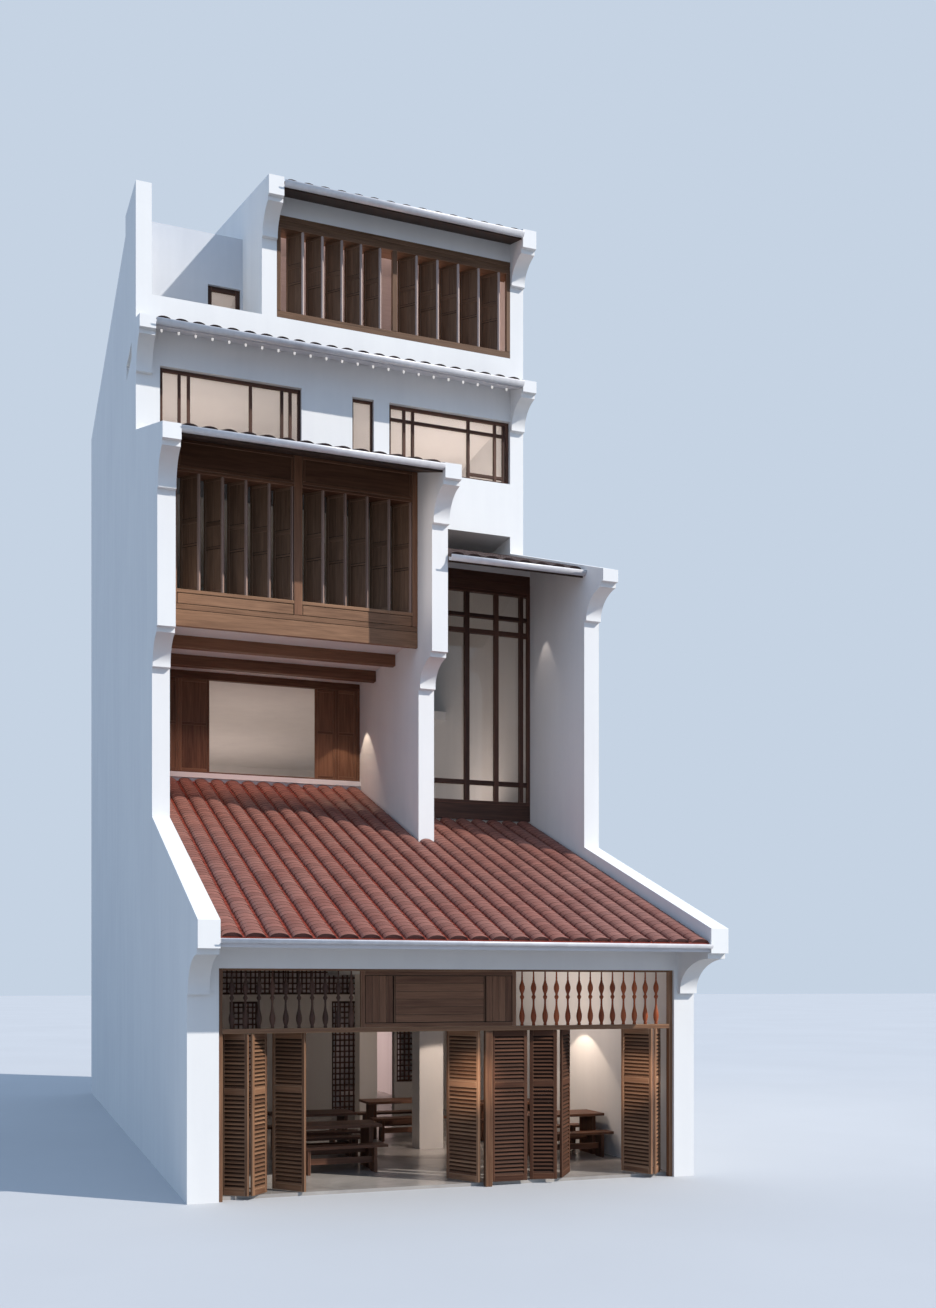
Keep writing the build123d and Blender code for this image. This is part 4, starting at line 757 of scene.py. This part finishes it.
def fourth_windows():
    """Left window, slot and right window of the fourth floor, parted by two piers."""
    wood = Joinery(26)
    _, y, z = plot_box("fourth_window_frames")
    pier, wide_pier, slot_w, right_w = 0.328, 1.054, 0.455, 2.681
    right = (RIGHT_X - right_w, RIGHT_X)
    slot = (right[0] - pier - slot_w, right[0] - pier)
    left = (WALL + 0.154, slot[0] - wide_pier)
    posts = [(left[0] + offset, SASH) for offset in (0.35, 0.53)]
    posts += [(left[1] - offset, SASH) for offset in (1.038, 0.408, 0.238)]
    grid(wood, left, z, y, SASH, posts)
    grid(wood, slot, z, y, 0.045)
    low_bar_from = 1.74
    posts = [(right[0] + offset, SASH) for offset in (0.32, 0.51, low_bar_from, 2.34, 2.54)]
    rails = ((z[1] - 0.32, SASH, *right), (z[0] + 0.11, SASH, right[0] + low_bar_from, right[1]))
    grid(wood, right, z, y, SASH, posts, rails)
    wood.make("ribbon_window_frames", WINDOW_TIMBER, "fourth_window_frames")


def terrace_door():
    """Glazed door of the terrace."""
    wood = Joinery(27)
    x, y, z = plot_box("terrace_door")
    border, rail = 0.09, z[0] + 0.9
    grid(wood, x, z, y, border, (), ((rail, SASH, *x),))
    wood.make("terrace_door_frame", WINDOW_TIMBER, "terrace_door")


def rear_windows():
    """Frames of the rear door and windows."""
    wood = Joinery(28)
    _, y, _ = plot_box("rear_window_frames")
    margin, width, sill, head, door = 0.7, 1.2, 0.9, 2.3, 2.4
    left, right = WALL + margin, RIGHT_X - margin - width
    holes = [(left, FLOOR_1, FLOOR_1 + door), (right, FLOOR_1 + sill, FLOOR_1 + head)]
    holes += [(x, floor + sill, floor + head) for floor in UPPER_FLOORS for x in (left, right)]
    for x, low, high in holes:
        grid(wood, (x, x + width), (low, high), y, SASH, ((x + (width - SASH) / 2, SASH),))
    wood.make("rear_frames", TIMBER, "rear_window_frames")


def trestle(wood, x, y, length, width, height, top, leg, inset, margin):
    """Thick top of planks on two slab legs, with a stretcher between them."""
    high = FLOOR_1 + height
    planks = 3 if width > 0.5 else 2
    for i in range(planks):
        a = y - width / 2 + i * width / planks
        wood.board((x - length / 2, x + length / 2), (a + 0.001, a + width / planks - 0.001),
                   (high - top, high), 0, 0.005)
    leg_x, leg_y = length / 2 - inset, width / 2 - margin
    for middle in (x - leg_x, x + leg_x):
        wood.board((middle - leg / 2, middle + leg / 2), (y - leg_y, y + leg_y), (FLOOR_1, high - top), 2,
                   0.006)
    low = FLOOR_1 + height / 3
    wood.board((x - leg_x, x + leg_x), (y - leg / 2, y + leg / 2), (low, low + 2 * leg), 0, 0.005)


def furniture():
    """Tables with a bench on each side."""
    length, table_w, bench_w, bench_off, wall_gap = 1.5, 0.75, 0.32, 0.595, 0.06
    right = RIGHT_X - wall_gap - table_w
    places = [(WALL + 2.4, 2.5), (WALL + 2.5, 4.5), (WALL + 4.76, 6.4), (right, 2.9), (right, 5.4)]
    tables = Joinery(30)
    benches = Joinery(31)
    for x, y in places:
        trestle(tables, x, y, length, table_w, height=0.74, top=0.05, leg=0.06, inset=0.16, margin=0.09)
        for side in (-1, 1):
            trestle(benches, x, y + side * bench_off, length, bench_w, height=0.45, top=0.045, leg=0.05,
                    inset=0.20, margin=0.03)
    tables.make("plank_tables", TABLE_TIMBER, "dining_tables", slot="furniture_timber")
    benches.make("plank_benches", TABLE_TIMBER, "dining_benches", slot="furniture_timber")


def lattices():
    """Close lattices in the wall across the hall, and the band over them."""
    wood = Joinery(32)
    _, y, _ = plot_box("hall_lattices")
    bay = RIGHT_X - MID_X
    head, border, post, rail = 2.7, 0.05, 0.03, 0.034
    column_pitch, row_pitch = 0.11, 0.13
    last = MID_X + 0.8 * bay
    openings = ((2.5, 3.16, FLOOR_1, head), (MID_X + 0.034 * bay, MID_X + 0.258 * bay, FLOOR_1, head),
                (MID_X + 0.576 * bay, last, 0.75, head), (0.7, last, 2.86, 3.9))
    for x0, x1, z0, z1 in openings:
        columns = round((x1 - x0) / column_pitch)
        rows = round((z1 - z0) / row_pitch)
        posts = [(x0 + i * (x1 - x0) / columns - post / 2, post) for i in range(1, columns)]
        rails = [(z0 + i * (z1 - z0) / rows - rail / 2, rail, x0, x1) for i in range(1, rows)]
        grid(wood, (x0, x1), (z0, z1), y, border, posts, rails, 0.002)
    wood.make("close_lattices", WINDOW_TIMBER, "hall_lattices")


class Slope:
    """A roof slope, with places given across, up the slope and off its deck."""

    def __init__(self, x0, eave_y, eave_z, way):
        self.origin = Vector((x0, eave_y, eave_z))
        self.up = Vector((0, way * math.cos(PITCH), math.sin(PITCH)))
        self.off = Vector((0, -way * math.sin(PITCH), math.cos(PITCH)))

    def add(self, pieces, across, along, high):
        """Add a point to some pieces."""
        pieces.points.append(self.origin + Vector((across, 0, 0)) + self.up * along + self.off * high)
        pieces.grain.append((across, along, high))


def half_ring(tiles, slope, middle, along, half, base, rise, sides):
    """Points of a half ellipse across the slope."""
    for i in range(sides + 1):
        turn = math.pi * i / sides
        slope.add(tiles, middle + half * math.cos(turn), along, base + rise * math.sin(turn))


def barrel_tile(tiles, slope, middle, half, start, length, sides):
    """One barrel tile, narrower at its upper end, which the next tile laps."""
    first = len(tiles.points)
    tone = tiles.random.random()
    middle += tiles.random.uniform(-0.004, 0.004)
    end, taper = start + length, 0.93
    for along, share, inset in ((start, 1.0, 0.0), (end, taper, 0.0), (end, taper, TILE_SKIN),
                                (start, 1.0, TILE_SKIN)):
        half_ring(tiles, slope, middle, along, half * share - inset, TILE_BASE - 0.002,
                  TILE_RISE * share - inset, sides)
    count = sides + 1
    for ring in range(4):
        for i in range(sides):
            a = first + ring * count + i
            b = first + ((ring + 1) % 4) * count + i
            # The front end face of each tile is marked for painted shade.
            tiles.face([a, a + 1, b + 1, b], tone, 1.0 if ring == 3 else 0.0)
    tiles.face([first + ring * count for ring in range(4)], tone)
    tiles.face([first + ring * count + sides for ring in (3, 2, 1, 0)], tone)


def tile_plug(tiles, slope, middle, half, sides):
    """Mortar that fills the open end of a row behind its first tile, darkened in part with painted shade."""
    first = len(tiles.points)
    for along in (0.03, 0.05):
        half_ring(tiles, slope, middle, along, 0.9 * half, TILE_BASE - 0.003, 0.82 * TILE_RISE, sides)
    count = sides + 1
    front = [first + i for i in range(count)]
    back = [first + count + i for i in range(count)]
    rings = [front, back[::-1], [front[0], back[0], back[-1], front[-1]]]
    rings += [[front[i], front[i + 1], back[i + 1], back[i]] for i in range(sides)]
    for ring in rings:
        tiles.face(ring, 0.8, 0.4)


def roof(name, node, spans, material, pan_material, sides, seed):
    """Barrel rows over pans; each span is x0, x1, eave y, eave z, top y and 1 or -1, to the back or front."""
    tiles = Joinery(seed)
    pans = Joinery(seed + 1)
    for x0, x1, eave_y, eave_z, top_y, way in spans:
        slope = Slope(x0, eave_y, eave_z, way)
        run = abs(top_y - eave_y) / math.cos(PITCH)
        width = x1 - x0
        rows = max(1, round(width / ROW_PITCH))
        pitch = width / rows
        half = (pitch - VALLEY_W) / 2
        courses = round(run / EXPOSURE)
        exposure = run / courses
        for row in range(rows):
            middle = (row + 0.5) * pitch
            tile_plug(tiles, slope, middle, half, sides)
            for course in range(courses):
                start = course * exposure
                barrel_tile(tiles, slope, middle, half, start, min(TILE_LENGTH, run - start), sides)
        pan_sheet(pans, slope, width, courses, exposure)
    tiles.make(name + "_barrels", material, node, slot="roof_tile")
    pans.make(name + "_pans", pan_material, slot="roof_tile")


def pan_sheet(pans, slope, width, courses, exposure):
    """Stepped pan courses under the barrels, each a thin board across the slope."""
    for course in range(courses):
        a = len(pans.points)
        tone = pans.random.random()
        for line, top in ((course, TILE_BASE - 0.002), (course + 1, TILE_BASE - 0.010)):
            for across, high in itertools.product((0, width), (0.0, top)):
                slope.add(pans, across, line * exposure, high)
        for ring in ((a, a + 1, a + 3, a + 2), (a + 4, a + 6, a + 7, a + 5), (a, a + 2, a + 6, a + 4),
                     (a + 1, a + 5, a + 7, a + 3), (a, a + 4, a + 5, a + 1), (a + 2, a + 3, a + 7, a + 6)):
            pans.face(ring, tone)


def roofs():
    """All slopes, with their eaves where the CAD decks have them."""
    lower = ((WALL, MID_X, *LOWER_EAVE, PORCH_Y, 1), (MID_X, MID_END_X, *LOWER_EAVE, MID_FRONT_Y, 1),
             (MID_END_X, RIGHT_X, *LOWER_EAVE, TALL_Y, 1))
    roof("lower_roof", "lower_roof_tiles", lower, TILE, SHADED_VALLEY_TILE, 9, 40)
    upper = ((WALL, MID_X, *LEFT_EAVE, TOP_Y, 1), (MID_END_X, RIGHT_X, *RIGHT_EAVE, TOP_Y, 1),
             (WALL, RIGHT_X, *FOURTH_EAVE, TOP_Y, 1))
    roof("bay_roofs", "upper_roof_tiles", upper, SHADE_DARKENED_TILE, SHADE_DARKENED_TILE, 8, 50)
    top = ((GABLE_END_X, RIGHT_X, *TOP_EAVE, RIDGE_Y - RIDGE_GAP, 1),
           (GABLE_END_X, RIGHT_X, *REAR_EAVE, RIDGE_Y + RIDGE_GAP, -1))
    roof("top_roof", "top_roof_tiles", top, SHADE_DARKENED_TILE, SHADE_DARKENED_TILE, 6, 60)


def gutters():
    """Half-round gutters, one along the foot of each slope."""
    runs = ((WALL, RIGHT_X, LOWER_EAVE, SMALL_GUTTER, 1), (WALL, MID_X, LEFT_EAVE, BAY_GUTTER, 1),
            (MID_END_X, RIGHT_X, RIGHT_EAVE, BAY_GUTTER, 1), (WALL, RIGHT_X, FOURTH_EAVE, LARGE_GUTTER, 1),
            (GABLE_END_X, RIGHT_X, TOP_EAVE, LARGE_GUTTER, 1),
            (GABLE_END_X, RIGHT_X, REAR_EAVE, SMALL_GUTTER, -1))
    metal = Joinery(70)
    for x0, x1, (eave_y, eave_z), (radius, drop), way in runs:
        trough(metal, (x0, x1), eave_y - way * radius, eave_z - drop, radius)
    metal.make("half_round_gutters", METAL, "eave_gutters", slot="gutter_metal", smooth=True)


def trough(metal, x, y, z, radius):
    """One gutter: an outer and an inner half round with closed ends."""
    sides, skin = 14, 0.004
    first = len(metal.points)
    for across in x:
        for r in (radius, radius - skin):
            for i in range(sides + 1):
                turn = math.pi + math.pi * i / sides
                metal.points.append(Vector((across, y + r * math.cos(turn), z + r * math.sin(turn))))
                metal.grain.append((across, y, z))
    outer, inner, far_outer, far_inner = (first + n * (sides + 1) for n in range(4))
    for i in range(sides):
        metal.face([outer + i, outer + i + 1, far_outer + i + 1, far_outer + i])
        metal.face([inner + i, far_inner + i, far_inner + i + 1, inner + i + 1])
        metal.face([outer + i, inner + i, inner + i + 1, outer + i + 1])
        metal.face([far_outer + i, far_outer + i + 1, far_inner + i + 1, far_inner + i])
    for i in (0, sides):
        metal.face([outer + i, far_outer + i, far_inner + i, inner + i])


def eave_pegs():
    """Small pegs under the fourth floor eave, one for each row of tiles, glowing as painted light."""
    pegs = Joinery(71)
    rows = round((RIGHT_X - WALL) / ROW_PITCH)
    deck_z = FOURTH_EAVE[1] + math.tan(PITCH) * (PEG_Y - FOURTH_EAVE[0]) - DECK_T
    profile = [(deck_z - drop, radius) for drop, radius in PEG_PROFILE]
    for i in range(rows):
        pegs.turned((WALL + (i + 0.5) * (RIGHT_X - WALL) / rows, PEG_Y), profile, 10)
    pegs.make("eave_pegs", PEG_GLOW, slot="gutter_metal", smooth=True)


# Material of each CAD node that stays: the first row that the end of its name fits
CAD_FINISHES = (
    ("glass", GLASS),
    (("hall_piers", "hall_cross_wall", "hall_cross_piers"), INNER),
    ("recess_shelf", SHADED),
    ("terrace_back_wall", SHADED_TERRACE),
    ("ground_floor_slab", CONCRETE),
    (("roof_deck", "roof_decks"), DECK),
    (("tiles", "ridge"), SHADE_DARKENED_TILE),
    (("slab", "wall", "parapet", "beam", "jambs", "piers"), WHITE),
    ("", TIMBER),
)


def cad_finishes():
    """Put each CAD node's material on it."""
    for name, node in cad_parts.items():
        material = next(finish for endings, finish in CAD_FINISHES if name.endswith(endings))
        node.data.materials.clear()
        node.data.materials.append(material)


def lamp(kind, name, place, energy, colour, aim, **settings):
    """A lamp on the plot, aimed at a point."""
    data = bpy.data.lights.new(name, kind)
    data.energy = energy
    data.color = colour
    for key, value in settings.items():
        setattr(data, key, value)
    made = added(name, data)
    made.location = Vector(place) + ORIGIN
    made.rotation_mode = "QUATERNION"
    made.rotation_quaternion = (Vector(aim) - Vector(place)).to_track_quat("-Z", "Y")
    made.visible_camera = False


WARM = (1.0, 0.80, 0.63)
SOFT = (1.0, 0.87, 0.78)
PINK = (1.0, 0.72, 0.68)
PEACH = (1.0, 0.64, 0.52)
BEIGE = (1.0, 0.79, 0.68)
AMBER = (1.0, 0.82, 0.66)
CREAM = (1.0, 0.82, 0.71)


def area_lamp(name, place, energy, colour, aim, size, spread=180):
    """A rectangular lamp."""
    lamp("AREA", name, place, energy, colour, aim, shape="RECTANGLE", size=size[0], size_y=size[1],
         spread=math.radians(spread))


def spot_lamp(name, place, energy, colour, aim, angle, blend, radius):
    """A lamp with a cone."""
    lamp("SPOT", name, place, energy, colour, aim, spot_size=angle, spot_blend=blend,
         shadow_soft_size=radius)


def room_lamps():
    """Warm light in the hall and the rooms, on their walls and on the folding leaves."""
    upright = (
        ("hall_back_lamp", (4.2, 8.6, 4.3), 5, SOFT, 0, (1.6, 1.6)),
        ("hall_right_lamp", (6.4, 5.6, 4.3), 22, SOFT, 0, (2.0, 3.0)),
        ("fourth_left_lamp", (1.4, 9.0, 13.0), 34, BEIGE, 15, (2.0, 2.2)),
        ("fourth_right_lamp", (6.7, 9.0, 13.0), 48, BEIGE, 15, (1.8, 2.2)),
        ("porch_near_lamp", (2.6, 11.4, 6.9), 25, BEIGE, 9.5, (3.4, 3.0)),
        ("porch_far_lamp", (2.9, 16.5, 6.9), 43, BEIGE, 9.5, (3.4, 4.0)),
        ("tall_room_lamp", (6.4, 8.8, 6.9), 30, BEIGE, 12, (2.0, 2.2)),
        ("box_room_lamp", (2.6, 8.5, 10.0), 5, WARM, 12, (3.0, 2.4)),
        ("top_room_lamp", (5.2, 9.6, 15.7), 95, PEACH, 19, (4.2, 2.4)),
        ("terrace_room_lamp", (1.4, 11.2, 15.7), 26, BEIGE, 18, (1.6, 2.2)),
    )
    for name, (x, y, z), energy, colour, aim_z, size in upright:
        area_lamp(name, (x, y, z), energy, colour, (x, y, aim_z), size)
    spot_lamp("pier_lamp", (5.9, 2.1, 3.0), 230, SOFT, (5.0, 4.33, 0.75), 0.72, 0.25, 0.03)
    spot_lamp("middle_lamp", (4.4, 7.2, 4.2), 90, SOFT, (4.2, 7.6, 0), 1.35, 1.0, 0.3)
    spot_lamp("back_hall_lamp", (4.7, 17.1, 2.0), 260, PINK, (7.74, 17.1, 1.35), 1.15, 0.5, 0.1)
    wide, middling, narrow = (math.radians(degrees) for degrees in (98, 70, 67))
    spot_lamp("hall_wall_washer", (7.10, 3.47, 2.76), 68, WARM, (7.10, 3.47, 0), wide, 0.15, 0.015)
    spot_lamp("porch_wall_washer", (4.40, 7.98, 9.0), 60, WARM, (4.40, 7.98, 0), middling, 0.2, 0.015)
    spot_lamp("tall_wall_washer", (7.49, 5.31, 10.35), 12, SOFT, (7.49, 5.31, 0), narrow, 0.4, 0.015)
    area_lamp("hall_side_lamp", (5.5, 3.3, 2.9), 34, CREAM, (7.74, 3.5, 3.0), (1.6, 0.8))
    spot_lamp("leaf_lamp_0", (3.6, -1.9, 2.3), 290, AMBER, (4.42, 0.38, 1.55), 0.46, 1.0, 0.05)
    spot_lamp("leaf_lamp_1", (6.5, -1.9, 2.3), 190, AMBER, (7.16, 0.38, 1.55), 0.46, 1.0, 0.05)
    area_lamp("porch_soffit_lamp", (2.3, 7.0, 9.05), 16, PEACH, (2.3, 7.95, 7.2), (3.6, 0.2), 85)
    area_lamp("box_side_lamp", (4.3, 3.65, 10.8), 3.6, SOFT, (4.81, 3.65, 10.8), (0.9, 2.2))


def daylight():
    """Sun from the front right and a pale blue sky."""
    far = 60
    level = far * math.cos(SUN_HEIGHT)
    place = (level * math.sin(SUN_AZIMUTH), -level * math.cos(SUN_AZIMUTH), far * math.sin(SUN_HEIGHT))
    lamp("SUN", "sun", place, 4.1, (1.0, 0.95, 0.88), (0, 0, 0), angle=math.radians(0.8))
    world = bpy.data.worlds.new("sky")
    bpy.context.scene.world = world
    sky = Nodes(world)
    light = sky.tree.nodes["Background"]
    light.inputs["Color"].default_value = (0.50, 0.70, 1.0, 1)
    light.inputs["Strength"].default_value = 0.80
    seen = sky.node("Background", {"Color": (0.56, 0.65, 0.77, 1), "Strength": 1.0})
    choose = sky.node("MixShader", {"Fac": sky.background_rays(), 1: light.outputs["Background"],
                                    2: seen.outputs["Background"]})
    sky.tree.links.new(choose.outputs["Shader"], sky.tree.nodes["World Output"].inputs["Surface"])


def ground():
    """Pale floor that only stages the house; it throws back less light than it shows."""
    f = Finish("pale_floor", Roughness=0.9)
    place = f.position()
    cloud = f.noise(place, 0.12, 4, 0.6)
    seen = f.ramp(cloud, (0.3, (0.50, 0.51, 0.53)), (0.7, (0.53, 0.54, 0.56)))
    colour = f.mix(f.background_rays(), (0.30, 0.295, 0.295), seen)
    material = f.finish(colour, None, f.noise(place, 25, 2, 0.5), 0.002, 0.1)
    size = 400.0
    mesh = bpy.data.meshes.new("stage_floor")
    corners = ((-size, -size), (size, -size), (size, size), (-size, size))
    mesh.from_pydata([(x, y, -0.001) for x, y in corners], [], [(0, 1, 2, 3)])
    mesh.materials.append(material)
    floor = added("stage_floor", mesh)


def camera():
    """The photograph's viewpoint: level, turned right, with the frame shifted up."""
    data = bpy.data.cameras.new("camera")
    data.sensor_fit = "AUTO"
    data.sensor_width = 36
    data.lens = 35.39
    data.shift_y = 0.2538
    data.clip_end = 1500
    made = added("camera", data)
    made.location = Vector((-2.457, -18.245, 3.06)) + ORIGIN
    made.rotation_euler = (math.radians(90), 0, math.radians(-20))
    bpy.context.scene.camera = made


bpy.context.scene.view_settings.view_transform = "Standard"
cad_finishes()
shop_frame()
balusters()
transom_panel()
folding_leaves()
blades("box_screen_blades", "box_blades", BOX_SPANS, BOX_Y, 33, NOSE_HIGHLIGHT_TIMBER)
blades("top_screen_blades", "top_blades", TOP_SPANS, TOP_Y, 34, TOP_NOSE_HIGHLIGHT_TIMBER)
box_frame()
top_frame()
soffit_beams()
porch_window()
tall_window()
fourth_windows()
terrace_door()
rear_windows()
furniture()
lattices()
roofs()
gutters()
eave_pegs()
room_lamps()
daylight()
ground()
camera()
